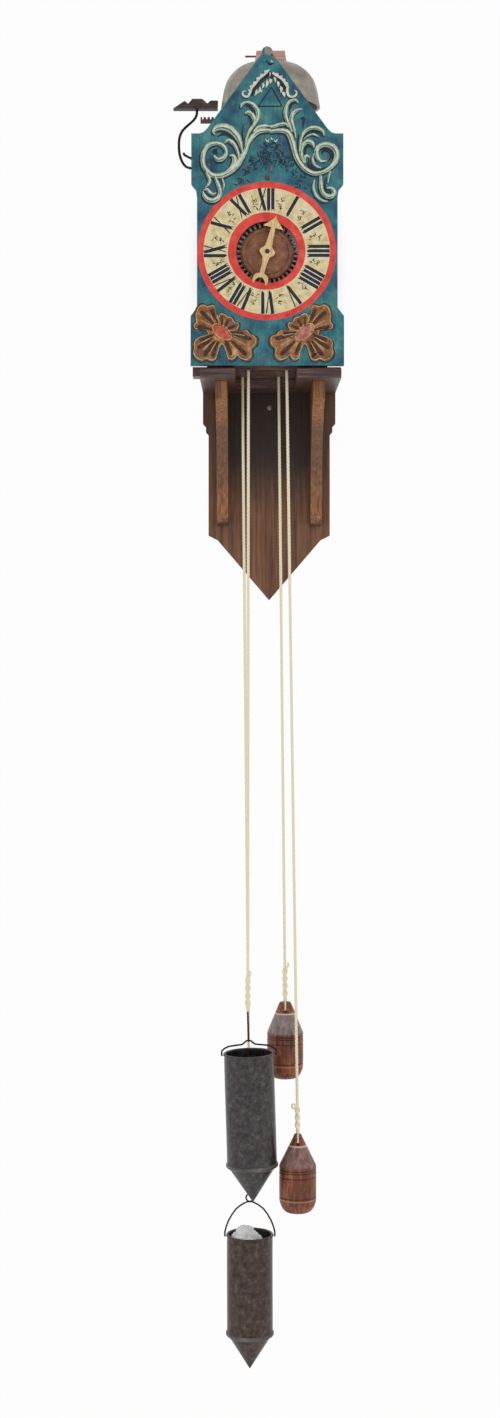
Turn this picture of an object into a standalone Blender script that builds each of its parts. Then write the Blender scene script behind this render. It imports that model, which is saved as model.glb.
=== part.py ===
"""Wooden wheel clock with verge and foliot, standing on a wall bracket, with rope-hung weights.

One object for each piece, in metres, +Z up, front toward -Y. The origin is on the wall, in the middle of
the back board's rear face.
"""

import math

import bmesh
import bpy
from mathutils import Matrix, Vector

for old in list(bpy.data.objects):
    bpy.data.objects.remove(old, do_unlink=True)

# Clearances
GAP = 0.0003  # between pieces that touch
RUN = 0.0003  # round a turning arbor, each side

# Wall bracket
BOARD_T = 0.018
BOARD_WIDE = 0.177
BOARD_NARROW = 0.162
BOARD_STEP = 0.004  # each of the two small steps at the side
BOARD_SHOULDER = 0.054  # below the shelf top
BOARD_WAIST = 0.069
BOARD_HIP = 0.2035
BOARD_NOTCH = 0.012
BOARD_TIP = 0.290
SHELF_TOP = 0.120  # above the origin
SHELF_T = 0.013
SHELF_W = 0.177
SHELF_DEPTH = 0.200
NOTCH_LEFT = -0.044
NOTCH_RIGHT = 0.033
NOTCH_DEPTH = 0.138
ARM_T = 0.015
ARM_X = 0.062
ARM_REACH = 0.163
ARM_NOSE = 0.022
ARM_DROP = 0.177
ARM_FOOT = 0.030
SCREW_R = 0.0022
SCREW_DROP = 0.0325

# Movement frame
CLOCK_X = -0.004
FRAME_REAR = -0.070
BAR_T = 0.012
BAR_W = 0.050
CAGE = 0.042
POST = 0.014
POST_X = 0.062
FRAME_H = 0.247
BASE_T = 0.012
TOP_T = 0.012
BASE_HALF = 0.076
BASE_EAR_HALF = 0.096
BASE_EAR_DEPTH = 0.035
BATTEN_T = 0.0134
BATTEN_H = 0.014
BATTEN_HALF = 0.080
LOWER_BATTEN_Z = 0.020  # above the shelf top

# Dial plate, heights above its lower edge
PLATE_T = 0.010
PLATE_LIFT = 0.0025
PLATE_BASE_HALF = 0.0959
PLATE_BODY_HALF = 0.0878
PLATE_EAR_HALF = 0.0950
PLATE_GABLE_HALF = 0.0800
PLATE_BASE_TOP = 0.0619
PLATE_BODY_LOW = 0.0725
PLATE_BODY_HIGH = 0.2094
PLATE_EAR_LOW = 0.2269
PLATE_EAR_TOP = 0.2900
PLATE_LOBE_Z = 0.3919
PLATE_LOBE_R = 0.0069
DIAL_Z = 0.1416
DIAL_HOLE_R = 0.0388
PEG_Z = 0.2344
PEG_R = 0.0028
PEG_HEAD = 0.0012
PEG_DEPTH = 0.0080

# Wheels and leaf pinions: teeth and pitch radii
HOUR_TEETH = 36
HOUR_R = 0.0365
HOUR_TIP = 0.0385
HOUR_ROOT = 0.03175
HOUR_T = 0.007
HOUR_DISC_R = 0.02925
HOUR_DISC_T = 0.006
HOUR_LEAVES = 6
GREAT_TEETH = 72
GREAT_R = 0.056
GREAT_T = 0.006
SECOND_TEETH = 48
SECOND_LEAVES = 8
SECOND_R = 0.030
SECOND_T = 0.005
CROWN_LEAVES = 6
CROWN_TEETH = 21
CROWN_R = 0.024
CROWN_WALL = 0.003
CROWN_WEB = 0.004
CROWN_RIM = 0.0105
STRIKE_TEETH = 64
STRIKE_R = 0.048
STRIKE_SECOND_R = 0.028
FLY_LEAVES = 6
FLY_HALF = 0.020
FLY_DEPTH = 0.014
FLY_T = 0.002
COUNT_TEETH = 78
COUNT_R = 0.050
COUNT_T = 0.006
COUNT_LEAVES = 8
LIFT_PINS = 8
LIFT_RING_R = 0.040
LIFT_PIN_R = 0.0015
LIFT_PIN_LEN = 0.006
ARBOR_R = 0.003
FAST_ARBOR_R = 0.002
STRIKE_X = -0.0128
CROWN_X = -0.0194
END_PLAY = 0.002  # between pieces on one arbor
HOUR_OFF = 0.0015  # behind the plate
PINION_LONGER = 0.001  # past each face of the wheel it meets

# Rope pulleys and ropes
ROPE_R = 0.002
PULLEY_R = 0.0235  # to the rope's middle
PULLEY_FLANGE = 0.0265
PULLEY_W = 0.012
FRONT_ROPE_Y = -0.170
REAR_ROPE_Y = -0.092

# Verge and foliot
VERGE_Y = -0.145
VERGE_R = 0.0025
VERGE_FOOT = 0.0290  # below the crown wheel's axis
PALLET_LEN = 0.0042
PALLET_W = 0.005
PALLET_T = 0.0012
FOLIOT_Z = 0.0483  # underside, above the top board
FOLIOT_HALF = 0.0695
FOLIOT_H = 0.0073
FOLIOT_W = 0.007
FOLIOT_NOTCHES = 4
FOLIOT_PITCH = 0.005
FOLIOT_NOTCH = 0.004
COLLAR_X = 0.036
COLLAR_W = 0.012
COLLAR_D = 0.014
COLLAR_H = 0.022
COLLAR_RISE = 0.003

# Bell, its post and the hammer
BELL_X = 0.001
BELL_Y = -0.115
BELL_RIM_Z = 0.0747  # above the top board
BELL_R = 0.0640
BELL_H = 0.0565
BELL_WALL = 0.003
BELL_CROWN_R = 0.013
BELL_POST_R = 0.0055
BELL_TENON_R = 0.004
BELL_BLOCK_H = 0.0140
BELL_BLOCK_LOW = 0.0204
BELL_BLOCK_HIGH = 0.0182
BELL_BLOCK_T = 0.026
BELL_PIN_R = 0.0013
BELL_PIN_OUT = 0.0125
HAMMER_DROP = 0.012  # below the top board's underside
HAMMER_ARBOR_R = 0.0025
STEM_R = 0.0017
STEM_CLEAR = 0.0032  # between the stem and the stop spring
STRIKE_GAP = 0.004
HEAD_BELOW = 0.0026  # under the bell's rim
HEAD_FACE = 0.0274
HEAD_PEEN = 0.0303
HEAD_H = 0.0125
HEAD_T = 0.016
HEAD_SOCKET = 0.006
TAIL_R = 0.002
TAIL_CLEAR = 0.001
TAIL_ANGLE = math.radians(120)
SPRING_R = 0.0016
SPRING_OUT = 0.0307
SPRING_RISE = 0.0225

# Hand
HAND_T = 0.0035
HAND_OFF = 0.003  # in front of the plate
HAND_TURN = math.radians(14)
HAND_REACH = 0.0480
HAND_TAIL = 0.0485

# Weights: places across, and heights above the lowest tin's rim
WEIGHT_DROP = 0.9971  # from the origin to that rim
CAN_WALL = 0.0012
CAN_BEAD = 0.0012
CAN_FRONT_R = 0.0316
CAN_FRONT_H = 0.141
CAN_FRONT_CONE = 0.048
CAN_FRONT_X = -0.0270
CAN_FRONT_ABOVE = 0.2515
CAN_FRONT_LEAN = math.radians(1.6)
CAN_REAR_R = 0.0298
CAN_REAR_H = 0.128
CAN_REAR_CONE = 0.047
CAN_REAR_X = -0.0258
BAIL_R = 0.0011
BAIL_FRONT_RISE = 0.016
BAIL_REAR_RISE = 0.043
HOOK_LEN = 0.038
RING_R = 0.005
FILL_LOW = 0.010
FILL_RISE = 0.018
FILL_LUMP_R = 0.018
COUNTER_R = 0.0235
COUNTER_H = 0.100
COUNTER_SHOULDER = 0.040
COUNTER_HOLE_R = 0.0024
COUNTER_HOLE_DOWN = 0.0105  # from the top to the rope's hole
COUNTER_FRONT_NECK = 0.0052
COUNTER_REAR_NECK = 0.0082
COUNTER_FOOT_R = 0.0195
COUNTER_FRONT_X = 0.0350
COUNTER_FRONT_ABOVE = 0.1500
COUNTER_REAR_X = 0.0203
COUNTER_REAR_ABOVE = 0.3039

# Places that follow from the sizes
TAU = 2 * math.pi
UP = math.pi / 2
BOARD_FRONT = -BOARD_T
SHELF_REAR = BOARD_FRONT - GAP
SHELF_FRONT = SHELF_REAR - SHELF_DEPTH
REAR_BAR = (FRAME_REAR - BAR_T, FRAME_REAR)
MIDDLE_BAR = (REAR_BAR[0] - CAGE - BAR_T, REAR_BAR[0] - CAGE)
FRONT_BAR = (MIDDLE_BAR[0] - CAGE - BAR_T, MIDDLE_BAR[0] - CAGE)
FRAME_FRONT = FRONT_BAR[0]
BASE_LOW = SHELF_TOP + GAP
BASE_TOP = BASE_LOW + BASE_T
FRAME_LOW = BASE_TOP + GAP
FRAME_HIGH = FRAME_LOW + FRAME_H
TOP_LOW = FRAME_HIGH + GAP
TOP_HIGH = TOP_LOW + TOP_T
PLATE_REAR = FRAME_FRONT - BATTEN_T - 2 * GAP
PLATE_FRONT = PLATE_REAR - PLATE_T
PLATE_LOW = SHELF_TOP + PLATE_LIFT
DIAL = (CLOCK_X, PLATE_LOW + DIAL_Z)


def pinion_radius(leaves, wheel_teeth, wheel_radius):
    """Pitch radius of a pinion with so many leaves that meets the wheel."""
    return wheel_radius * leaves / wheel_teeth


HOUR_PINION_R = pinion_radius(HOUR_LEAVES, HOUR_TEETH, HOUR_R)
SECOND_PINION_R = pinion_radius(SECOND_LEAVES, GREAT_TEETH, GREAT_R)
CROWN_PINION_R = pinion_radius(CROWN_LEAVES, SECOND_TEETH, SECOND_R)
STRIKE_PINION_R = pinion_radius(SECOND_LEAVES, STRIKE_TEETH, STRIKE_R)
FLY_PINION_R = pinion_radius(FLY_LEAVES, SECOND_TEETH, STRIKE_SECOND_R)
COUNT_PINION_R = pinion_radius(COUNT_LEAVES, COUNT_TEETH, COUNT_R)

GREAT = (CLOCK_X, DIAL[1] - HOUR_R - HOUR_PINION_R)
SECOND = (CLOCK_X, GREAT[1] + GREAT_R + SECOND_PINION_R)
CROWN_TURN = math.acos((CROWN_X - CLOCK_X) / (SECOND_R + CROWN_PINION_R))
CROWN = (CROWN_X, SECOND[1] + (SECOND_R + CROWN_PINION_R) * math.sin(CROWN_TURN))
STRIKE = (STRIKE_X, GREAT[1])
STRIKE_SECOND = (STRIKE_X, STRIKE[1] + STRIKE_R + STRIKE_PINION_R)
FLY = (STRIKE_X, STRIKE_SECOND[1] + STRIKE_SECOND_R + FLY_PINION_R)
COUNT = (STRIKE_X, STRIKE[1] + COUNT_R + COUNT_PINION_R)
HAMMER = (CLOCK_X - POST_X, TOP_LOW - HAMMER_DROP)
BELL_LOW = TOP_HIGH + BELL_RIM_Z
FOLIOT_LOW = TOP_HIGH + FOLIOT_Z
CAN_REAR_RIM = -WEIGHT_DROP
CAN_FRONT_RIM = CAN_REAR_RIM + CAN_FRONT_ABOVE
COUNTER_FRONT_TOP = CAN_REAR_RIM + COUNTER_FRONT_ABOVE
COUNTER_REAR_TOP = CAN_REAR_RIM + COUNTER_REAR_ABOVE

# Collections
parts = bpy.data.collections.new("wooden_wheel_clock")
tools = bpy.data.collections.new("cutters")
bpy.context.scene.collection.children.link(parts)
bpy.context.scene.collection.children.link(tools)
tools.hide_render = True


def material(name, colour, roughness, metallic=0.0):
    """A plain Principled finish."""
    made = bpy.data.materials.new(name)
    made.use_nodes = True
    shader = made.node_tree.nodes["Principled BSDF"]
    shader.inputs["Base Color"].default_value = (*colour, 1.0)
    shader.inputs["Roughness"].default_value = roughness
    shader.inputs["Metallic"].default_value = metallic
    return made


DARK_OAK = ("dark_oak", (0.075, 0.034, 0.020), 0.45)
BEECH = ("aged_beech", (0.30, 0.17, 0.085), 0.60)
BLUE = ("blue_paint", (0.010, 0.070, 0.095), 0.55)
WHEEL_WOOD = ("wheel_wood", (0.16, 0.075, 0.040), 0.50)
BOXWOOD = ("boxwood", (0.62, 0.36, 0.12), 0.40)
IRON = ("forged_iron", (0.020, 0.018, 0.017), 0.55, 0.7)
BRONZE = ("bell_bronze", (0.36, 0.30, 0.20), 0.40, 0.8)
TIN = ("blackened_tin", (0.045, 0.042, 0.038), 0.50, 0.6)
ROPE = ("cotton_rope", (0.78, 0.66, 0.45), 0.85)
LEAD = ("lead_grey", (0.18, 0.18, 0.19), 0.60, 0.5)
TURNED = ("turned_weight", (0.17, 0.050, 0.022), 0.40)
FILL = ("white_fill", (0.80, 0.80, 0.78), 0.85)


def add(name, mesh, finish, place=(0, 0, 0), turn=(0, 0, 0), holder=None):
    """An object of the part, with its own material."""
    made = bpy.data.objects.new(name, mesh)
    made.location = place
    made.rotation_euler = turn
    made.parent = holder
    mesh.materials.clear()
    mesh.materials.append(material(f"{name}_{finish[0]}", *finish[1:]))
    parts.objects.link(made)
    return made


def as_tool(made):
    """Moves an object to the cutters."""
    parts.objects.unlink(made)
    tools.objects.link(made)
    made.hide_render = True
    made.display_type = "WIRE"
    return made


def boolean(made, tool, operation):
    change = made.modifiers.new(tool.name, "BOOLEAN")
    change.operation = operation
    change.object = tool
    change.solver = "EXACT"


def cut(made, tool):
    boolean(made, as_tool(tool), "DIFFERENCE")


def join(made, tool):
    boolean(made, as_tool(tool), "UNION")


def closed_mesh(name, bm):
    """The welded mesh of bm, its faces turned outward."""
    bmesh.ops.remove_doubles(bm, verts=bm.verts, dist=1e-6)
    bmesh.ops.recalc_face_normals(bm, faces=bm.faces)
    mesh = bpy.data.meshes.new(name)
    bm.to_mesh(mesh)
    bm.free()
    return mesh


def evaluated_mesh(name, source):
    """The closed mesh that an object's curve or modifiers make."""
    parts.objects.link(source)
    graph = bpy.context.evaluated_depsgraph_get()
    raw = bpy.data.meshes.new_from_object(source.evaluated_get(graph))
    bpy.data.objects.remove(source, do_unlink=True)
    bm = bmesh.new()
    bm.from_mesh(raw)
    bpy.data.meshes.remove(raw)
    return closed_mesh(name, bm)


def box(name, finish, xs, ys, zs):
    """A block between two values on each axis."""
    low = Vector((xs[0], ys[0], zs[0]))
    high = Vector((xs[1], ys[1], zs[1]))
    bm = bmesh.new()
    bmesh.ops.create_cube(bm, size=1.0, matrix=Matrix.Diagonal((*(high - low), 1.0)))
    return add(name, closed_mesh(name, bm), finish, (low + high) / 2)


def cylinder_mesh(name, radius, length, sides, turn):
    bm = bmesh.new()
    bmesh.ops.create_cone(
        bm, cap_ends=True, segments=sides, radius1=radius, radius2=radius, depth=length, matrix=turn
    )
    return closed_mesh(name, bm)


def rod_y(name, finish, at, ys, radius, sides=16):
    """A round rod along Y at (x, z)."""
    mesh = cylinder_mesh(name, radius, ys[1] - ys[0], sides, Matrix.Rotation(UP, 4, "X"))
    return add(name, mesh, finish, (at[0], (ys[0] + ys[1]) / 2, at[1]))


def rod_z(name, finish, at, zs, radius, sides=16):
    """An upright round rod at (x, y)."""
    mesh = cylinder_mesh(name, radius, zs[1] - zs[0], sides, Matrix.Identity(4))
    return add(name, mesh, finish, (at[0], at[1], (zs[0] + zs[1]) / 2))


def rod_x(name, finish, xs, y, z, radius, sides=12):
    """A round rod along X."""
    mesh = cylinder_mesh(name, radius, xs[1] - xs[0], sides, Matrix.Rotation(UP, 4, "Y"))
    return add(name, mesh, finish, ((xs[0] + xs[1]) / 2, y, z))


def outline_mesh(name, loops, thickness):
    """A flat board: the first loop is its edge, any others are holes."""
    curve = bpy.data.curves.new(name, "CURVE")
    curve.dimensions = "2D"
    curve.fill_mode = "BOTH"
    curve.extrude = thickness / 2
    for loop in loops:
        spline = curve.splines.new("POLY")
        spline.points.add(len(loop) - 1)
        for point, (u, v) in zip(spline.points, loop):
            point.co = (u, v, 0.0, 1.0)
        spline.use_cyclic_u = True
    return evaluated_mesh(name, bpy.data.objects.new(name, curve))


def board_y(name, finish, loops, ys, at=(0.0, 0.0), turn=0.0):
    """A board whose outline is given in X and Z about a point, turned clockwise as seen from the front."""
    mesh = outline_mesh(name, loops, ys[1] - ys[0])
    mesh.transform(Matrix.Rotation(UP, 4, "X"))
    return add(name, mesh, finish, (at[0], (ys[0] + ys[1]) / 2, at[1]), (0, turn, 0))


def board_x(name, finish, loop, xs):
    """A board whose outline is given in Y and Z."""
    mesh = outline_mesh(name, [loop], xs[1] - xs[0])
    mesh.transform(Matrix.Rotation(UP, 4, "Z") @ Matrix.Rotation(UP, 4, "X"))
    return add(name, mesh, finish, ((xs[0] + xs[1]) / 2, 0, 0))


def turned_mesh(name, profile, sides, closed=False):
    """A profile of (radius, height) turned about Z."""
    bm = bmesh.new()
    corners = [bm.verts.new((radius, 0.0, height)) for radius, height in profile]
    for first, second in zip(corners, corners[1:]):
        bm.edges.new((first, second))
    if closed:
        bm.edges.new((corners[-1], corners[0]))
    mesh = bpy.data.meshes.new(name)
    bm.to_mesh(mesh)
    bm.free()
    source = bpy.data.objects.new(name, mesh)
    screw = source.modifiers.new("turn", "SCREW")
    screw.axis = "Z"
    screw.steps = sides
    screw.render_steps = sides
    screw.use_merge_vertices = True
    screw.merge_threshold = 1e-5
    return evaluated_mesh(name, source)


def tube_mesh(name, points, radius, resolution=2):
    """A round bar through the points."""
    curve = bpy.data.curves.new(name, "CURVE")
    curve.dimensions = "3D"
    curve.bevel_depth = radius
    curve.bevel_resolution = resolution
    curve.use_fill_caps = True
    spline = curve.splines.new("POLY")
    spline.points.add(len(points) - 1)
    for point, place in zip(spline.points, points):
        point.co = (*place, 1.0)
    return evaluated_mesh(name, bpy.data.objects.new(name, curve))


def smooth(points, steps):
    """A Catmull-Rom curve through the points, with so many steps between each two."""
    ends = [2 * points[0] - points[1], *points, 2 * points[-1] - points[-2]]
    route = []
    for a, b, c, d in zip(ends, ends[1:], ends[2:], ends[3:]):
        for step in range(steps):
            t = step / steps
            route.append(
                0.5 * (2 * b + (c - a) * t + (2 * a - 5 * b + 4 * c - d) * t**2 + (3 * b - a - 3 * c + d) * t**3)
            )
    return [*route, points[-1]]


def arc(centre, radius, start, end, steps):
    """Points on an arc, from one angle to another."""
    angles = [start + (end - start) * step / steps for step in range(steps + 1)]
    return [(centre[0] + radius * math.cos(a), centre[1] + radius * math.sin(a)) for a in angles]


def ring(radius, sides=16, centre=(0.0, 0.0)):
    return arc(centre, radius, 0.0, TAU * (sides - 1) / sides, sides - 1)


def toothed(count, root, tip, root_share, tip_share, first):
    """Straight-sided teeth: each share is a part of the pitch, first is the angle of the first tooth."""
    edge = []
    for tooth in range(count):
        middle = first + TAU * tooth / count
        for radius, share in ((root, -root_share), (tip, -tip_share), (tip, tip_share), (root, root_share)):
            angle = middle + share * math.pi / count
            edge.append((radius * math.cos(angle), radius * math.sin(angle)))
    return edge


# A wheel's teeth reach past its pitch circle by one share of the pitch, and a pinion's by another
WHEEL_ADDENDUM = 0.26
PINION_ADDENDUM = 0.20
ROOT_CLEAR = 0.0004


def wheel(name, at, ys, count, radius, gap_angle, bore):
    """A wooden wheel with a gap between teeth at gap_angle."""
    pitch = TAU * radius / count
    root = radius - PINION_ADDENDUM * pitch - ROOT_CLEAR
    tip = radius + WHEEL_ADDENDUM * pitch
    edge = toothed(count, root, tip, 0.50, 0.26, gap_angle + math.pi / count)
    return board_y(name, WHEEL_WOOD, [edge, ring(bore + GAP)], ys, at)


def pinion(name, at, ys, leaves, radius, leaf_angle):
    """A leaf pinion with a leaf at leaf_angle."""
    pitch = TAU * radius / leaves
    root = radius - WHEEL_ADDENDUM * pitch - ROOT_CLEAR
    tip = radius + PINION_ADDENDUM * pitch
    return board_y(name, WHEEL_WOOD, [toothed(leaves, root, tip, 0.42, 0.22, leaf_angle)], ys, at)


def longer(ys):
    return (ys[0] - PINION_LONGER, ys[1] + PINION_LONGER)


def drill(name, made, holes, ys):
    """Cuts round holes along Y: each is an (x, z) and a radius."""
    bm = bmesh.new()
    for (x, z), radius in holes:
        place = Matrix.Translation((x, (ys[0] + ys[1]) / 2, z)) @ Matrix.Rotation(UP, 4, "X")
        bmesh.ops.create_cone(
            bm, cap_ends=True, segments=16, radius1=radius, radius2=radius, depth=ys[1] - ys[0], matrix=place
        )
    cut(made, add(name, closed_mesh(name, bm), IRON))


def through(ys):
    """A cutter's reach, past both faces of what lies between ys."""
    return (ys[0] - 0.002, ys[1] + 0.002)


# Wall bracket
def build_bracket():
    wide = BOARD_WIDE / 2
    narrow = BOARD_NARROW / 2
    side = [
        (wide, 0.0),
        (wide, -BOARD_SHOULDER),
        (wide - BOARD_STEP, -BOARD_SHOULDER - BOARD_STEP),
        (wide - BOARD_STEP, -BOARD_WAIST + BOARD_STEP),
        (narrow, -BOARD_WAIST),
        (narrow, -BOARD_HIP),
        (narrow - BOARD_NOTCH, -BOARD_HIP - BOARD_NOTCH / 2),
    ]
    edge = [*side, (0.0, -BOARD_TIP), *[(-x, z) for x, z in reversed(side)]]
    screw_hole = ring(SCREW_R + GAP, 16, (0.0, -SCREW_DROP))
    board_y("back_board", DARK_OAK, [edge, screw_hole], (BOARD_FRONT, 0.0), (0.0, SHELF_TOP))

    nose = arc((SHELF_FRONT + SHELF_T / 2, SHELF_TOP - SHELF_T / 2), SHELF_T / 2, UP, 3 * UP, 8)
    shelf = board_x(
        "shelf",
        DARK_OAK,
        [(SHELF_REAR, SHELF_TOP), *nose, (SHELF_REAR, SHELF_TOP - SHELF_T)],
        (-SHELF_W / 2, SHELF_W / 2),
    )
    notch = box(
        "shelf_notch",
        DARK_OAK,
        (NOTCH_LEFT, NOTCH_RIGHT),
        (SHELF_FRONT - SHELF_T, SHELF_FRONT + NOTCH_DEPTH),
        through((SHELF_TOP - SHELF_T, SHELF_TOP)),
    )
    cut(shelf, notch)

    top = SHELF_TOP - SHELF_T - GAP
    foot = SHELF_REAR - ARM_FOOT
    tip = SHELF_REAR - ARM_REACH
    hollow = [
        Vector((tip, top - ARM_NOSE)),
        Vector((tip + 0.18 * ARM_REACH, top - ARM_NOSE - 0.03 * ARM_DROP)),
        Vector((tip + 0.52 * ARM_REACH, top - 0.34 * ARM_DROP)),
        Vector((tip + 0.74 * ARM_REACH, top - 0.62 * ARM_DROP)),
        Vector((foot, top - 0.93 * ARM_DROP)),
    ]
    front = [(y, z) for y, z in smooth(hollow, 4)]
    low = top - ARM_DROP
    outline = [(SHELF_REAR, top), (tip, top), *front, (foot + 0.4 * ARM_FOOT, low), (SHELF_REAR, low)]
    for name, sign in (("bracket_left", -1), ("bracket_right", 1)):
        board_x(name, DARK_OAK, outline, (sign * ARM_X - ARM_T / 2, sign * ARM_X + ARM_T / 2))


# Frame of the movement
def build_frame():
    ear_front = FRAME_REAR - BASE_EAR_DEPTH
    half = [
        (BASE_HALF, FRAME_FRONT),
        (BASE_HALF, ear_front),
        (BASE_EAR_HALF, ear_front),
        (BASE_EAR_HALF, FRAME_REAR),
    ]
    edge = [*half, *[(-x, y) for x, y in reversed(half)]]
    slots = []
    for x, y in ((CLOCK_X, FRONT_ROPE_Y), (STRIKE_X, REAR_ROPE_Y)):
        middle = x - CLOCK_X
        wide = PULLEY_R + 3 * ROPE_R
        deep = 3 * ROPE_R
        slots.append([(middle + i * wide, y + j * deep) for i, j in ((-1, -1), (1, -1), (1, 1), (-1, 1))])
    mesh = outline_mesh("base_board", [edge, *slots], BASE_T)
    add("base_board", mesh, BEECH, (CLOCK_X, 0.0, BASE_LOW + BASE_T / 2))

    top = box(
        "top_board",
        BEECH,
        (CLOCK_X - BASE_HALF, CLOCK_X + BASE_HALF),
        (FRAME_FRONT, FRAME_REAR),
        (TOP_LOW, TOP_HIGH),
    )
    holes = bmesh.new()
    for x, y, radius in ((CROWN_X, VERGE_Y, VERGE_R + RUN), (BELL_X, BELL_Y, BELL_TENON_R + GAP)):
        bmesh.ops.create_cone(
            holes,
            cap_ends=True,
            segments=16,
            radius1=radius,
            radius2=radius,
            depth=3 * TOP_T,
            matrix=Matrix.Translation((x, y, TOP_LOW)),
        )
    cut(top, add("top_holes", closed_mesh("top_holes", holes), BEECH))

    upright = (FRAME_LOW, FRAME_HIGH)
    posts = {
        "post_front_left": (-POST_X, FRAME_FRONT),
        "post_front_right": (POST_X, FRAME_FRONT),
        "post_rear_left": (-POST_X, FRAME_REAR - POST),
        "post_rear_right": (POST_X, FRAME_REAR - POST),
    }
    for name, (offset, front) in posts.items():
        middle = CLOCK_X + offset
        post = box(name, BEECH, (middle - POST / 2, middle + POST / 2), (front, front + POST), upright)
        if offset < 0:
            drill(f"{name}_hole", post, [(HAMMER, HAMMER_ARBOR_R + RUN)], through((front, front + POST)))

    slow = ARBOR_R + RUN
    fast = FAST_ARBOR_R + RUN
    bars = {
        "front_bar": (FRONT_BAR, [(DIAL, slow), (GREAT, slow), (SECOND, slow), (CROWN, fast)]),
        "middle_bar": (
            MIDDLE_BAR,
            [(GREAT, slow), (SECOND, slow), (STRIKE, slow), (STRIKE_SECOND, slow), (FLY, fast)],
        ),
        "rear_bar": (REAR_BAR, [(STRIKE, slow), (STRIKE_SECOND, slow), (FLY, fast)]),
    }
    cock_top = CROWN[1] - VERGE_FOOT - GAP
    cock = box(
        "verge_cock",
        BEECH,
        (CROWN_X - 2 * VERGE_R, CROWN_X + 2 * VERGE_R),
        (VERGE_Y - 2 * VERGE_R, MIDDLE_BAR[0] + BAR_T / 2),
        (cock_top - 3 * VERGE_R, cock_top),
    )
    stud = rod_y("count_stud", BEECH, COUNT, (REAR_BAR[0] + BAR_T / 2, FRAME_REAR + COUNT_T + 0.004), ARBOR_R)
    carried = {"middle_bar": cock, "rear_bar": stud}
    for name, (ys, holes) in bars.items():
        bar = box(name, BEECH, (CLOCK_X - BAR_W / 2, CLOCK_X + BAR_W / 2), ys, upright)
        if name in carried:
            join(bar, carried[name])
        drill(f"{name}_holes", bar, holes, through(ys))

    batten_y = (FRAME_FRONT - GAP - BATTEN_T, FRAME_FRONT - GAP)
    for name, z in (("lower_batten", SHELF_TOP + LOWER_BATTEN_Z), ("upper_batten", PLATE_LOW + PEG_Z)):
        batten = box(
            name,
            BEECH,
            (CLOCK_X - BATTEN_HALF, CLOCK_X + BATTEN_HALF),
            batten_y,
            (z - BATTEN_H / 2, z + BATTEN_H / 2),
        )
        if name == "upper_batten":
            reach = (PLATE_REAR - PLATE_T, PLATE_REAR + PEG_DEPTH + GAP)
            drill("peg_hole", batten, [((CLOCK_X, z), PEG_R + GAP)], reach)


# Dial plate with its peg
def build_plate():
    cove = PLATE_EAR_LOW - PLATE_BODY_HIGH
    slope = math.atan2(PLATE_LOBE_Z - PLATE_EAR_TOP, PLATE_GABLE_HALF)
    lobe = arc((0.0, PLATE_LOBE_Z), PLATE_LOBE_R, UP - slope - UP * 0.6, UP, 5)
    half = [
        (PLATE_BASE_HALF, 0.0),
        (PLATE_BASE_HALF, PLATE_BASE_TOP),
        (PLATE_BODY_HALF, PLATE_BODY_LOW),
        (PLATE_BODY_HALF, PLATE_BODY_HIGH),
        (PLATE_BODY_HALF + 0.2 * (PLATE_EAR_HALF - PLATE_BODY_HALF), PLATE_BODY_HIGH + 0.6 * cove),
        (PLATE_EAR_HALF, PLATE_EAR_LOW),
        (PLATE_EAR_HALF, PLATE_EAR_TOP),
        (PLATE_GABLE_HALF + 0.005, PLATE_EAR_TOP),
        (PLATE_GABLE_HALF, PLATE_EAR_TOP + 0.0015),
        (PLATE_GABLE_HALF - 0.005, PLATE_EAR_TOP + 0.0065),
        *lobe,
    ]
    edge = [*half, *[(-x, z) for x, z in reversed(half[:-1])]]
    holes = [ring(DIAL_HOLE_R, 48, (0.0, DIAL_Z)), ring(PEG_R + GAP, 12, (0.0, PEG_Z))]
    board_y("dial_plate", BLUE, [edge, *holes], (PLATE_FRONT, PLATE_REAR), (CLOCK_X, PLATE_LOW))
    peg_ys = (PLATE_FRONT - PEG_HEAD, PLATE_REAR + PEG_DEPTH)
    rod_y("plate_peg", WHEEL_WOOD, (CLOCK_X, PLATE_LOW + PEG_Z), peg_ys, PEG_R, 12)


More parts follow.
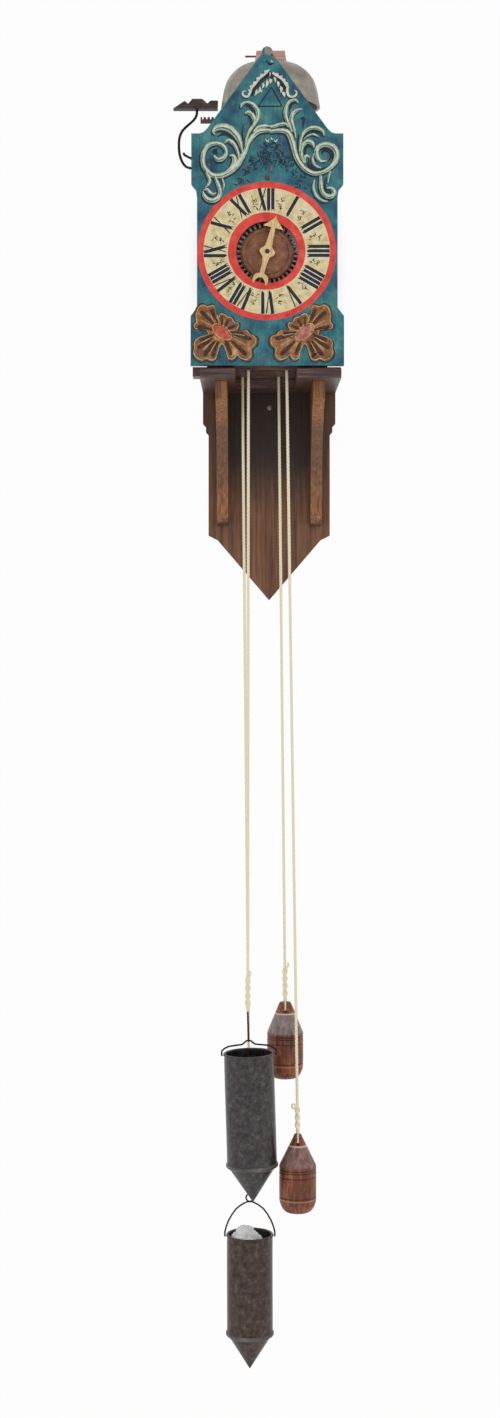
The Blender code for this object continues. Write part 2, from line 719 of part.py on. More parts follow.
# Hour wheel and the single hand
def build_hour_work():
    wheel_ys = (PLATE_REAR + HOUR_OFF, PLATE_REAR + HOUR_OFF + HOUR_T)
    edge = toothed(HOUR_TEETH, HOUR_ROOT, HOUR_TIP, 0.50, 0.32, -UP + math.pi / HOUR_TEETH)
    board_y("hour_wheel", WHEEL_WOOD, [edge, ring(ARBOR_R + GAP)], wheel_ys, DIAL)
    face = wheel_ys[0] - GAP
    bore = ARBOR_R + GAP
    profile = [
        (bore, HOUR_DISC_T),
        (HOUR_DISC_R * 0.80, HOUR_DISC_T),
        (HOUR_DISC_R * 0.84, HOUR_DISC_T * 0.8),
        (HOUR_DISC_R * 0.95, HOUR_DISC_T * 0.8),
        (HOUR_DISC_R, HOUR_DISC_T * 0.45),
        (HOUR_DISC_R, 0.0),
        (bore, 0.0),
    ]
    mesh = turned_mesh("hour_disc", profile, 32, closed=True)
    mesh.transform(Matrix.Rotation(UP, 4, "X"))
    add("hour_disc", mesh, WHEEL_WOOD, (DIAL[0], face, DIAL[1]))

    hand_ys = (PLATE_FRONT - HAND_OFF - HAND_T, PLATE_FRONT - HAND_OFF)
    tip = HAND_REACH
    tail = HAND_TAIL
    half = [
        (0.0, tip),
        (0.0135, tip - 0.0170),
        (0.0045, tip - 0.0135),
        (0.0028, 0.0130),
        (0.0035, 0.0055),
        (0.0098, 0.0020),
        (0.0098, -0.0020),
        (0.0042, -0.0060),
        (0.0030, -0.0120),
        (0.0022, -0.0310),
        (0.0060, -0.0330),
        (0.0110, -0.0410),
        (0.0085, -0.0375 - 0.0040),
        (0.0040, -0.0365),
        (0.0, -tail),
    ]
    outline = [*half, *[(-x, z) for x, z in reversed(half[1:-1])]]
    board_y("hand", BOXWOOD, [outline, ring(ARBOR_R + GAP, 12)], hand_ys, DIAL, HAND_TURN)
    rod_y("hour_arbor", IRON, DIAL, (hand_ys[0] - 0.0015, FRONT_BAR[1] - GAP), ARBOR_R)


# Going train
def build_going_train():
    hour_ys = (PLATE_REAR + HOUR_OFF, PLATE_REAR + HOUR_OFF + HOUR_T)
    pulley_ys = (FRONT_ROPE_Y - PULLEY_W / 2, FRONT_ROPE_Y + PULLEY_W / 2)
    great_ys = (pulley_ys[1] + END_PLAY, pulley_ys[1] + END_PLAY + GREAT_T)
    great = rod_y("going_great_arbor", WHEEL_WOOD, GREAT, (PLATE_REAR + GAP, MIDDLE_BAR[1] - BAR_T / 2), ARBOR_R)
    join(great, pinion("hour_pinion", GREAT, longer(hour_ys), HOUR_LEAVES, HOUR_PINION_R, UP))
    wheel("going_great_wheel", GREAT, great_ys, GREAT_TEETH, GREAT_R, UP, ARBOR_R)
    build_pulley("front_pulley", GREAT, FRONT_ROPE_Y)

    second_ys = (FRONT_BAR[1] + 0.004, FRONT_BAR[1] + 0.004 + SECOND_T)
    second = rod_y("going_second_arbor", WHEEL_WOOD, SECOND, (FRONT_BAR[0] + GAP, MIDDLE_BAR[1] - GAP), ARBOR_R)
    join(second, pinion("second_pinion", SECOND, longer(great_ys), SECOND_LEAVES, SECOND_PINION_R, -UP))
    wheel("going_second_wheel", SECOND, second_ys, SECOND_TEETH, SECOND_R, CROWN_TURN, ARBOR_R)

    rim_y = VERGE_Y - PALLET_LEN - 0.0005
    web_y = rim_y - CROWN_RIM
    crown = rod_y("crown_arbor", WHEEL_WOOD, CROWN, (FRONT_BAR[0] + GAP, web_y + CROWN_WEB + END_PLAY), FAST_ARBOR_R)
    leaf = CROWN_TURN + math.pi
    join(crown, pinion("crown_pinion", CROWN, longer(second_ys), CROWN_LEAVES, CROWN_PINION_R, leaf))
    inner = CROWN_R - CROWN_WALL
    bore = FAST_ARBOR_R + GAP
    profile = [
        (bore, 0.0),
        (bore, -CROWN_WEB),
        (inner, -CROWN_WEB),
        (inner, -CROWN_RIM),
        (CROWN_R, -CROWN_RIM),
        (CROWN_R, 0.0),
    ]
    mesh = turned_mesh("crown_wheel", profile, 2 * CROWN_TEETH, closed=True)
    mesh.transform(Matrix.Rotation(UP, 4, "X"))
    made = add("crown_wheel", mesh, WHEEL_WOOD, (CROWN[0], web_y, CROWN[1]))
    notches = bmesh.new()
    notch = 0.36 * TAU * CROWN_R / CROWN_TEETH
    for tooth in range(CROWN_TEETH):
        spoke = Matrix.Rotation(TAU * (tooth + 0.25) / CROWN_TEETH, 4, "Y")
        place = Matrix.Translation((CROWN_R - CROWN_WALL / 2, CROWN_RIM, 0.0))
        bmesh.ops.create_cone(
            notches,
            cap_ends=True,
            segments=3,
            radius1=notch,
            radius2=notch,
            depth=2 * CROWN_WALL,
            matrix=spoke @ place @ Matrix.Rotation(UP, 4, "Y") @ Matrix.Rotation(math.pi, 4, "Z"),
        )
    tool = add("crown_notches", closed_mesh("crown_notches", notches), IRON, (CROWN[0], web_y, CROWN[1]))
    cut(made, tool)


def build_pulley(name, at, y):
    """A grooved rope pulley on its arbor."""
    half = PULLEY_W / 2
    bore = ARBOR_R + RUN
    groove = PULLEY_R - ROPE_R - GAP
    floor = 1.2 * ROPE_R
    mouth = 0.66 * half
    profile = [
        (bore, half),
        (PULLEY_FLANGE, half),
        (PULLEY_FLANGE, mouth),
        (groove, floor),
        (groove, -floor),
        (PULLEY_FLANGE, -mouth),
        (PULLEY_FLANGE, -half),
        (bore, -half),
    ]
    mesh = turned_mesh(name, profile, 24, closed=True)
    mesh.transform(Matrix.Rotation(UP, 4, "X"))
    add(name, mesh, WHEEL_WOOD, (at[0], y, at[1]))


# Verge, foliot and its sliding weights
def build_verge():
    foot = CROWN[1] - VERGE_FOOT
    staff = rod_z("verge_staff", IRON, (CROWN_X, VERGE_Y), (foot, FOLIOT_LOW + FOLIOT_H), VERGE_R)
    for name, z, turn in (("upper_pallet", 1, 45), ("lower_pallet", -1, -45)):
        level = CROWN[1] + z * (CROWN_R - CROWN_WALL / 2)
        pallet = box(
            name,
            IRON,
            (-PALLET_T / 2, PALLET_T / 2),
            (-PALLET_LEN, 0.0),
            (level - PALLET_W / 2, level + PALLET_W / 2),
        )
        pallet.data.transform(Matrix.Translation(pallet.location))
        pallet.location = (CROWN_X, VERGE_Y, 0.0)
        pallet.rotation_euler = (0, 0, math.radians(turn))
        join(staff, pallet)

    side = [(FOLIOT_HALF, 0.0), (FOLIOT_HALF, FOLIOT_H)]
    for notch in range(FOLIOT_NOTCHES):
        outer = FOLIOT_HALF - (notch + 0.3) * FOLIOT_PITCH
        side.append((outer, FOLIOT_H))
        side.append((outer - 0.30 * FOLIOT_PITCH, FOLIOT_H - FOLIOT_NOTCH))
        side.append((outer - 0.60 * FOLIOT_PITCH, FOLIOT_H))
    edge = [*side, *[(-x, z) for x, z in reversed(side)]]
    bar_ys = (VERGE_Y - FOLIOT_W / 2, VERGE_Y + FOLIOT_W / 2)
    bar = board_y("foliot_bar", IRON, [edge], bar_ys, (CROWN_X, FOLIOT_LOW))
    height = (FOLIOT_LOW - FOLIOT_H, FOLIOT_LOW + 2 * FOLIOT_H)
    cut(bar, rod_z("foliot_hole", IRON, (CROWN_X, VERGE_Y), height, VERGE_R + GAP))

    for name, sign in (("foliot_weight_left", -1), ("foliot_weight_right", 1)):
        middle = CROWN_X + sign * COLLAR_X
        high = FOLIOT_LOW + FOLIOT_H + COLLAR_RISE
        weight = box(
            name,
            LEAD,
            (middle - COLLAR_W / 2, middle + COLLAR_W / 2),
            (VERGE_Y - COLLAR_D / 2, VERGE_Y + COLLAR_D / 2),
            (high - COLLAR_H, high),
        )
        slot = box(
            f"{name}_slot",
            LEAD,
            (middle - COLLAR_W, middle + COLLAR_W),
            (bar_ys[0] - GAP, bar_ys[1] + GAP),
            (FOLIOT_LOW - GAP, FOLIOT_LOW + FOLIOT_H + GAP),
        )
        cut(weight, slot)


# Striking train
def build_strike_train():
    pulley_ys = (REAR_ROPE_Y - PULLEY_W / 2, REAR_ROPE_Y + PULLEY_W / 2)
    great_ys = (pulley_ys[0] - END_PLAY - GREAT_T, pulley_ys[0] - END_PLAY)
    count_ys = (FRAME_REAR + END_PLAY, FRAME_REAR + END_PLAY + COUNT_T)
    arbor_ys = (MIDDLE_BAR[0] + BAR_T / 2 + GAP, count_ys[1] + 2 * PINION_LONGER)
    great = rod_y("strike_great_arbor", WHEEL_WOOD, STRIKE, arbor_ys, ARBOR_R)
    join(great, pinion("count_pinion", STRIKE, longer(count_ys), COUNT_LEAVES, COUNT_PINION_R, UP))
    made = wheel("strike_great_wheel", STRIKE, great_ys, STRIKE_TEETH, STRIKE_R, UP, ARBOR_R)
    pins = bmesh.new()
    for pin in range(LIFT_PINS):
        angle = TAU * (pin + 0.5) / LIFT_PINS
        x = STRIKE[0] + LIFT_RING_R * math.cos(angle)
        z = STRIKE[1] + LIFT_RING_R * math.sin(angle)
        y0 = great_ys[0] - LIFT_PIN_LEN
        y1 = great_ys[0] + GREAT_T / 2
        bmesh.ops.create_cone(
            pins,
            cap_ends=True,
            segments=8,
            radius1=LIFT_PIN_R,
            radius2=LIFT_PIN_R,
            depth=y1 - y0,
            matrix=Matrix.Translation((x, (y0 + y1) / 2, z)) @ Matrix.Rotation(UP, 4, "X"),
        )
    join(made, add("lift_pins", closed_mesh("lift_pins", pins), IRON))
    build_pulley("rear_pulley", STRIKE, REAR_ROPE_Y)
    wheel("count_wheel", COUNT, count_ys, COUNT_TEETH, COUNT_R, -UP, ARBOR_R + RUN)

    second_ys = (MIDDLE_BAR[1] + END_PLAY, MIDDLE_BAR[1] + END_PLAY + SECOND_T)
    second_reach = (MIDDLE_BAR[0] + GAP, REAR_BAR[1] - GAP)
    second = rod_y("strike_second_arbor", WHEEL_WOOD, STRIKE_SECOND, second_reach, ARBOR_R)
    leaf = pinion("strike_pinion", STRIKE_SECOND, longer(great_ys), SECOND_LEAVES, STRIKE_PINION_R, -UP)
    join(second, leaf)
    wheel("strike_second_wheel", STRIKE_SECOND, second_ys, SECOND_TEETH, STRIKE_SECOND_R, UP, ARBOR_R)

    fly = rod_y("fly_arbor", WHEEL_WOOD, FLY, second_reach, FAST_ARBOR_R)
    join(fly, pinion("fly_pinion", FLY, longer(second_ys), FLY_LEAVES, FLY_PINION_R, -UP))
    vane_ys = (REAR_BAR[0] - END_PLAY - FLY_DEPTH, REAR_BAR[0] - END_PLAY)
    hub = FAST_ARBOR_R + GAP
    collar = 0.0016
    edge = [
        (-FLY_HALF, -FLY_T / 2),
        (-hub - collar, -FLY_T / 2),
        *arc((0.0, 0.0), hub + collar, math.pi * 1.12, math.pi * 1.88, 6),
        (hub + collar, -FLY_T / 2),
        (FLY_HALF, -FLY_T / 2),
        (FLY_HALF, FLY_T / 2),
        (hub + collar, FLY_T / 2),
        *arc((0.0, 0.0), hub + collar, math.pi * 0.12, math.pi * 0.88, 6),
        (-hub - collar, FLY_T / 2),
        (-FLY_HALF, FLY_T / 2),
    ]
    board_y("fly_vane", WHEEL_WOOD, [edge, ring(hub, 12)], vane_ys, FLY)


# Bell on its post
def build_bell():
    crown = BELL_LOW + BELL_H
    seat = crown - BELL_WALL - GAP
    outside = [
        (BELL_CROWN_R, BELL_H),
        (0.391 * BELL_R, 0.986 * BELL_H),
        (0.586 * BELL_R, 0.924 * BELL_H),
        (0.742 * BELL_R, 0.796 * BELL_H),
        (0.867 * BELL_R, 0.619 * BELL_H),
        (0.956 * BELL_R, 0.319 * BELL_H),
        (BELL_R, 0.0),
    ]
    bore = BELL_TENON_R + GAP
    inside = [(radius - BELL_WALL, max(height - BELL_WALL, 0.0)) for radius, height in reversed(outside)]
    profile = [(bore, BELL_H), *outside, *inside, (bore, BELL_H - BELL_WALL)]
    mesh = turned_mesh("bell", profile, 32, closed=True)
    add("bell", mesh, BRONZE, (BELL_X, BELL_Y, BELL_LOW))

    block = (crown + GAP, crown + GAP + BELL_BLOCK_H)
    top = block[1] + 0.001
    stem = [
        (0.0, top),
        (BELL_TENON_R, top),
        (BELL_TENON_R, seat),
        (BELL_POST_R, seat),
        (BELL_POST_R, TOP_HIGH + GAP),
        (BELL_TENON_R, TOP_HIGH + GAP),
        (BELL_TENON_R, TOP_LOW + GAP),
        (0.0, TOP_LOW + GAP),
    ]
    post = add("bell_post", turned_mesh("bell_post", stem, 16), BEECH, (BELL_X, BELL_Y, 0.0))
    edge = [
        (-BELL_BLOCK_LOW, 0.0),
        (BELL_BLOCK_LOW, 0.0),
        (BELL_BLOCK_HIGH, BELL_BLOCK_H),
        (-BELL_BLOCK_HIGH, BELL_BLOCK_H),
    ]
    ys = (BELL_Y - BELL_BLOCK_T / 2, BELL_Y + BELL_BLOCK_T / 2)
    cap = board_y("bell_block", BEECH, [edge], ys, (BELL_X, block[0]))
    cut(cap, rod_z("block_bore", BEECH, (BELL_X, BELL_Y), through(block), bore))
    level = block[0] + 0.68 * BELL_BLOCK_H
    reach = (BELL_X - BELL_BLOCK_LOW - BELL_PIN_OUT, BELL_X + BELL_BLOCK_HIGH)
    for name, made in (("post_pin_hole", post), ("block_pin_hole", cap)):
        span = (reach[0], reach[1] + BELL_BLOCK_LOW)
        cut(made, rod_x(name, IRON, span, BELL_Y, level, BELL_PIN_R + GAP))
    rod_x("bell_pin", BEECH, reach, BELL_Y, level, BELL_PIN_R)


# Hammer with its stem, arbor, tail and stop spring
def build_hammer():
    x, z = HAMMER
    arbor = rod_y("hammer_arbor", IRON, HAMMER, (FRAME_FRONT + POST / 4, FRAME_REAR - POST / 4), HAMMER_ARBOR_R)
    edge = CLOCK_X - BASE_HALF - GAP
    stem_bow = x - edge + SPRING_OUT + SPRING_R + STEM_CLEAR + STEM_R
    head_low = BELL_LOW - HEAD_BELOW
    head_x = BELL_X - BELL_R - STRIKE_GAP - HEAD_FACE
    rise = head_low + HEAD_SOCKET - GAP - z
    bow = [(0.388, 0.128), (0.660, 0.196), (0.816, 0.218), (0.922, 0.285), (0.981, 0.373), (1.0, 0.470),
           (0.990, 0.580), (0.917, 0.674)]
    neck = [(0.221, 0.747), (0.080, 0.811), (0.0, 0.884), (0.0, 1.0)]
    bends = [
        (x, z),
        *((x - out * stem_bow, z + up * rise) for out, up in bow),
        *((head_x - out * stem_bow, z + up * rise) for out, up in neck),
    ]
    route = smooth([Vector((u, BELL_Y, v)) for u, v in bends], 2)
    join(arbor, add("hammer_stem", tube_mesh("hammer_stem", route, STEM_R), IRON))

    pins_front = REAR_ROPE_Y - PULLEY_W / 2 - END_PLAY - GREAT_T
    tail_y = pins_front - LIFT_PIN_LEN / 2
    reach = LIFT_RING_R + LIFT_PIN_R + TAIL_CLEAR + TAIL_R
    end = (STRIKE[0] + reach * math.cos(TAIL_ANGLE), STRIKE[1] + reach * math.sin(TAIL_ANGLE))
    tail = [Vector((x, tail_y, z)), Vector((end[0], tail_y, end[1]))]
    join(arbor, add("hammer_tail", tube_mesh("hammer_tail", tail, TAIL_R), IRON))

    outline = [
        (-HEAD_PEEN, 0.0),
        (-0.52 * HEAD_PEEN, 0.79 * HEAD_H),
        (-0.36 * HEAD_PEEN, 0.50 * HEAD_H),
        (-0.19 * HEAD_PEEN, HEAD_H),
        (0.26 * HEAD_FACE, HEAD_H),
        (0.50 * HEAD_FACE, 0.53 * HEAD_H),
        (0.66 * HEAD_FACE, 0.82 * HEAD_H),
        (HEAD_FACE, 0.82 * HEAD_H),
        (0.985 * HEAD_FACE, 0.0),
    ]
    ys = (BELL_Y - HEAD_T / 2, BELL_Y + HEAD_T / 2)
    head = board_y("hammer_head", IRON, [outline], ys, (head_x, head_low))
    socket = (head_low - HEAD_SOCKET, head_low + HEAD_SOCKET)
    cut(head, rod_z("head_socket", IRON, (head_x, BELL_Y), socket, STEM_R + GAP, 12))

    level = TOP_LOW + TOP_T / 2
    root = Vector((edge, BELL_Y, level))
    curve = [(0.326, 0.378), (0.635, 0.631), (0.977, 0.867), (1.0, 1.0)]
    arm = [(edge - SPRING_R, level), *((edge - out * SPRING_OUT, level + up * SPRING_RISE) for out, up in curve)]
    points = [root, *smooth([Vector((u, BELL_Y, v)) for u, v in arm], 2)]
    add("stop_spring", tube_mesh("stop_spring", points, SPRING_R), IRON)


# Weights with their bails
def build_canister(name, at, y, radius, height, cone, lean, bail):
    """An open tin with a pointed foot, its wire bail, and what stands in it, hung from a point."""
    hanger = bpy.data.objects.new(f"{name}_hanger", None)
    hanger.location = (at[0], y, at[1])
    hanger.rotation_euler = (0, lean, 0)
    parts.objects.link(hanger)
    inner = radius - CAN_WALL
    profile = [
        (0.0, -height - cone),
        (radius, -height),
        (radius, -4 * CAN_BEAD),
        (radius + CAN_BEAD, -3 * CAN_BEAD),
        (radius + CAN_BEAD, 0.0),
        (inner, 0.0),
        (inner, -height),
        (0.0, -height - cone + 2 * CAN_WALL),
    ]
    mesh = turned_mesh(f"canister_{name}", profile, 28)
    add(f"canister_{name}", mesh, TIN, holder=hanger)

    ear = radius + CAN_BEAD + GAP + BAIL_R
    add(f"bail_{name}", bail(f"bail_{name}", ear), IRON, holder=hanger)


def bail_with_hook(name, ear):
    """A low arch over the tin, drawn up to a hook."""
    low = -2 * CAN_BEAD
    half = [(-ear, low), (-ear, 0.004), (-0.75 * ear, 0.0095), (-0.25 * ear, 0.0115), (-0.003, BAIL_FRONT_RISE)]
    arch = [Vector((x, 0.0, z)) for x, z in [*half, *[(-x, z) for x, z in reversed(half)]]]
    mesh = tube_mesh(name, smooth(arch, 2), BAIL_R)
    hook_foot = BAIL_FRONT_RISE - BAIL_R
    hook = [Vector((0.0, 0.0, hook_foot)), Vector((0.0, 0.0, hook_foot + HOOK_LEN))]
    return union_mesh(name, mesh, tube_mesh(f"{name}_hook", hook, BAIL_R))


def bail_with_ring(name, ear):
    """A tall arch over the tin with a small ring at its top."""
    low = -2 * CAN_BEAD
    top = BAIL_REAR_RISE
    half = [(-ear, low), (-ear, 0.004), (-0.86 * ear, 0.42 * top), (-0.55 * ear, 0.78 * top), (-0.2 * ear, 0.96 * top)]
    arch = [Vector((x, 0.0, z)) for x, z in [*half, (0.0, top), *[(-x, z) for x, z in reversed(half)]]]
    mesh = tube_mesh(name, smooth(arch, 2), BAIL_R)
    eye = [Vector((x, 0.0, z)) for x, z in arc((0.0, top + RING_R), RING_R, -UP, -UP + 0.97 * TAU, 14)]
    return union_mesh(name, mesh, tube_mesh(f"{name}_ring", eye, BAIL_R))


def union_mesh(name, first, second):
    """The Boolean union of two meshes."""
    made = bpy.data.objects.new(name, first)
    other = bpy.data.objects.new(f"{name}_other", second)
    parts.objects.link(other)
    boolean(made, other, "UNION")
    mesh = evaluated_mesh(name, made)
    bpy.data.objects.remove(other, do_unlink=True)
    return mesh


def build_fill():
    """White lumps heaped in the rear tin."""
    radius = CAN_REAR_R - CAN_WALL - GAP
    profile = [
        (0.0, FILL_RISE),
        (0.55 * FILL_LUMP_R, 0.92 * FILL_RISE),
        (FILL_LUMP_R, 0.35 * FILL_RISE),
        (1.1 * FILL_LUMP_R, -0.3 * FILL_RISE),
        (radius, -FILL_LOW),
        (radius, -CAN_REAR_H),
        (0.0, -CAN_REAR_H),
    ]
    mesh = turned_mesh("shot_fill", profile, 24)
    add("shot_fill", mesh, FILL, (CAN_REAR_X, REAR_ROPE_Y, CAN_REAR_RIM))


def build_counterweight(name, x, y, top, neck):
    """A turned wooden weight with a conical top, drilled across for its rope."""
    foot = COUNTER_FOOT_R
    profile = [
        (0.0, 0.0),
        (0.7 * neck, 0.0),
        (neck, -0.03 * COUNTER_H),
        (COUNTER_R, -COUNTER_SHOULDER),
        (0.98 * COUNTER_R, -0.80 * COUNTER_H),
        (foot, -0.93 * COUNTER_H),
        (0.8 * foot, -0.985 * COUNTER_H),
        (0.5 * foot, -COUNTER_H),
        (0.0, -COUNTER_H),
    ]
    weight = add(name, turned_mesh(name, profile, 24), TURNED, (x, y, top))
    through_neck = (y - COUNTER_R, y + COUNTER_R)
    cut(weight, rod_y(f"{name}_hole", TURNED, (x, top - COUNTER_HOLE_DOWN), through_neck, COUNTER_HOLE_R))


# Ropes: a half turn over each pulley and four hanging runs
def build_ropes():
    hook = BAIL_FRONT_RISE - BAIL_R + HOOK_LEN
    hook_top = CAN_FRONT_RIM + hook * math.cos(CAN_FRONT_LEAN)
    hook_x = CAN_FRONT_X - hook * math.sin(CAN_FRONT_LEAN)
    ring_top = CAN_REAR_RIM + BAIL_REAR_RISE + 2 * RING_R + BAIL_R
    runs = {
        "rope_front_canister": (GREAT, -1, FRONT_ROPE_Y, hook_x, hook_top),
        "rope_front_counterweight": (GREAT, 1, FRONT_ROPE_Y, COUNTER_FRONT_X, COUNTER_FRONT_TOP),
        "rope_rear_canister": (STRIKE, -1, REAR_ROPE_Y, CAN_REAR_X, ring_top),
        "rope_rear_counterweight": (STRIKE, 1, REAR_ROPE_Y, COUNTER_REAR_X, COUNTER_REAR_TOP),
    }
    for name, (axle, side, y, x, z) in runs.items():
        top = Vector((axle[0] + side * PULLEY_R, y, axle[1] - GAP / 2))
        low = Vector((x, y, z + GAP))
        add(name, tube_mesh(name, [low.lerp(top, step / 6) for step in range(7)], ROPE_R), ROPE)
    for name, axle, y in (("rope_front_turn", GREAT, FRONT_ROPE_Y), ("rope_rear_turn", STRIKE, REAR_ROPE_Y)):
        bend = [Vector((u, y, v)) for u, v in arc(axle, PULLEY_R, 0.0, math.pi, 16)]
        bend[0].z += GAP / 2
        bend[-1].z += GAP / 2
        add(name, tube_mesh(name, bend, ROPE_R), ROPE)


build_bracket()
build_frame()
build_plate()
build_hour_work()
build_going_train()
build_verge()
build_strike_train()
build_bell()
build_hammer()
build_canister(
    "front", (CAN_FRONT_X, CAN_FRONT_RIM), FRONT_ROPE_Y, CAN_FRONT_R, CAN_FRONT_H, CAN_FRONT_CONE, -CAN_FRONT_LEAN,
    bail_with_hook,
)
build_canister(
    "rear", (CAN_REAR_X, CAN_REAR_RIM), REAR_ROPE_Y, CAN_REAR_R, CAN_REAR_H, CAN_REAR_CONE, 0.0, bail_with_ring
)
build_fill()
build_counterweight("counterweight_front", COUNTER_FRONT_X, FRONT_ROPE_Y, COUNTER_FRONT_TOP, COUNTER_FRONT_NECK)
build_counterweight("counterweight_rear", COUNTER_REAR_X, REAR_ROPE_Y, COUNTER_REAR_TOP, COUNTER_REAR_NECK)
build_ropes()
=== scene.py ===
# %% [markdown]
# # A wooden wheel clock
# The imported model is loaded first, as a fixed frame. Its solids carry the joints, so nothing here moves them.
# Everything that follows either gives a solid its finish, or lays a finer piece where a solid stands.

# %% Load the frame
import math

import bmesh
import bpy
import numpy as np
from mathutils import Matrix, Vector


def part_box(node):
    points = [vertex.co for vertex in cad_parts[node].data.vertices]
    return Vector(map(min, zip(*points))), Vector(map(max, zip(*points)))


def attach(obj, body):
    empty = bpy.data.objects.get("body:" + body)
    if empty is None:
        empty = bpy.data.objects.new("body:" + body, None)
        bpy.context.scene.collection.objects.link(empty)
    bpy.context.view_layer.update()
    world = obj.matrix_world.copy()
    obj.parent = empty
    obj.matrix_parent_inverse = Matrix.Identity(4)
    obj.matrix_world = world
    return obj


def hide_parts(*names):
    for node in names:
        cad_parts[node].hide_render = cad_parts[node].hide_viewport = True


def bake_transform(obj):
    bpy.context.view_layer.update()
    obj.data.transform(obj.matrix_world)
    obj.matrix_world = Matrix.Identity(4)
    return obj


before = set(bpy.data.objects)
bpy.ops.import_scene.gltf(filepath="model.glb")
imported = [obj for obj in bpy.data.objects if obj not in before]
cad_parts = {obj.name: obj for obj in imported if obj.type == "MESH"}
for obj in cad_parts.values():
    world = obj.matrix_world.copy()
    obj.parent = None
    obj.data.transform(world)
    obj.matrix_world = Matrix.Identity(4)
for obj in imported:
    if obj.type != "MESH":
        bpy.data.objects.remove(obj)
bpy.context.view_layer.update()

# %% [markdown]
# ## Camera, wall and light
# The photograph looks straight at the clock from about three metres, a little below the dial.
# A long lens at that distance keeps the shelf's underside visible without bending the upright lines.
# The clock hangs on a white wall, so the wall runs down into the floor in one soft bend.

# %% Camera
EYE = (-0.0256, -3.014, -0.183)
SHIFT_DOWN = 0.0698  # of the picture's height, as the photograph's level lens was raised
LENS_MM = 56.9
camera = bpy.data.objects.new("camera", bpy.data.cameras.new("camera"))
camera.data.lens = LENS_MM
camera.location = EYE
camera.data.shift_y = -SHIFT_DOWN
camera.rotation_euler = (math.pi / 2, 0, 0)
bpy.context.collection.objects.link(camera)
bpy.context.scene.camera = camera
bpy.context.scene.view_settings.view_transform = "Standard"
print("camera at", EYE, "with lens", LENS_MM)

# %% Meshes from grids
def grid_faces(rows, columns, closed_rows=False, closed_columns=False):
    """Quads between the neighbours of a grid of points; a closed direction joins its last line to its first."""
    r = np.arange(rows if closed_rows else rows - 1)
    c = np.arange(columns if closed_columns else columns - 1)
    r, c = np.meshgrid(r, c, indexing="ij")
    r2, c2 = (r + 1) % rows, (c + 1) % columns
    return np.stack([r * columns + c, r * columns + c2, r2 * columns + c2, r2 * columns + c], -1).reshape(-1, 4)


def mesh_object(name, points, faces, smooth=True):
    """An object at the origin from points in a grid or a row, and faces as an array or a list."""
    mesh = bpy.data.meshes.new(name)
    mesh.from_pydata(np.asarray(points).reshape(-1, 3), [], faces if isinstance(faces, list) else faces.tolist())
    mesh.polygons.foreach_set("use_smooth", np.full(len(mesh.polygons), smooth))
    made = bpy.data.objects.new(name, mesh)
    bpy.context.collection.objects.link(made)
    return made


FINE_WELD = 1e-7


def round_angles(count):
    """Even angles round a circle, without the last one that would close it."""
    return np.linspace(0, 2 * np.pi, count, endpoint=False)


def round_grid(rings, columns):
    """Shares from the middle to the rim, and angles, on a grid of rings by columns."""
    return np.meshgrid(np.linspace(0, 1, rings), round_angles(columns), indexing="ij")


def welded(made, distance=1e-6):
    """Merges points that coincide, drops what collapsed, and turns the faces outward."""
    bm = bmesh.new()
    bm.from_mesh(made.data)
    bmesh.ops.remove_doubles(bm, verts=bm.verts, dist=distance)
    bmesh.ops.dissolve_degenerate(bm, edges=bm.edges, dist=distance)
    bmesh.ops.recalc_face_normals(bm, faces=bm.faces)
    bm.to_mesh(made.data)
    bm.free()
    return made


# %% Wall and floor in one sheet
WALL_Y = 0.004
FLOOR_Z = -1.62
BEND_R = 0.5
bend = np.linspace(0, math.pi / 2, 16)
sweep_y = np.concatenate([[WALL_Y], WALL_Y - BEND_R + BEND_R * np.cos(bend), [-6.0]])
sweep_z = np.concatenate([[3.0], FLOOR_Z + BEND_R - BEND_R * np.sin(bend), [FLOOR_Z]])
across = np.array([-5.0, 5.0])
sheet = np.stack([np.broadcast_to(across[:, None], (2, len(sweep_y))),
                  np.broadcast_to(sweep_y, (2, len(sweep_y))), np.broadcast_to(sweep_z, (2, len(sweep_z)))], -1)
wall = mesh_object("wall_and_floor", sheet, grid_faces(2, len(sweep_y)))
wall.visible_diffuse = wall.visible_glossy = wall.visible_transmission = wall.visible_shadow = False

# %% Soft light
def soft_lamp(name, place, target, power, size):
    lamp = bpy.data.objects.new(name, bpy.data.lights.new(name, "AREA"))
    lamp.data.energy = power
    lamp.data.size = size
    lamp.location = place
    away = np.subtract(target, place)
    lamp.rotation_euler = (math.acos(away[2] / np.linalg.norm(away)) - math.pi, 0,
                           math.atan2(away[1], away[0]) - math.pi / 2)
    bpy.context.collection.objects.link(lamp)


soft_lamp("key_lamp", (1.9, -2.6, 1.7), (0, -0.1, -0.2), 185, 1.6)
soft_lamp("fill_lamp", (-2.4, -2.6, 0.6), (0, -0.1, -0.3), 85, 2.2)
sky = bpy.data.worlds.new("studio")
sky.use_nodes = True
backdrop = sky.node_tree.nodes["Background"]
backdrop.inputs["Color"].default_value = (1.0, 1.0, 1.0, 1.0)
backdrop.inputs["Strength"].default_value = 0.75
bpy.context.scene.world = sky

# %% [markdown]
# ## Finishes
# Every finish is a Principled shader fed by noise in the object's own metres, so grain and wear keep their real size.
# A small helper class keeps the node wiring short: each method adds one node and returns its output.

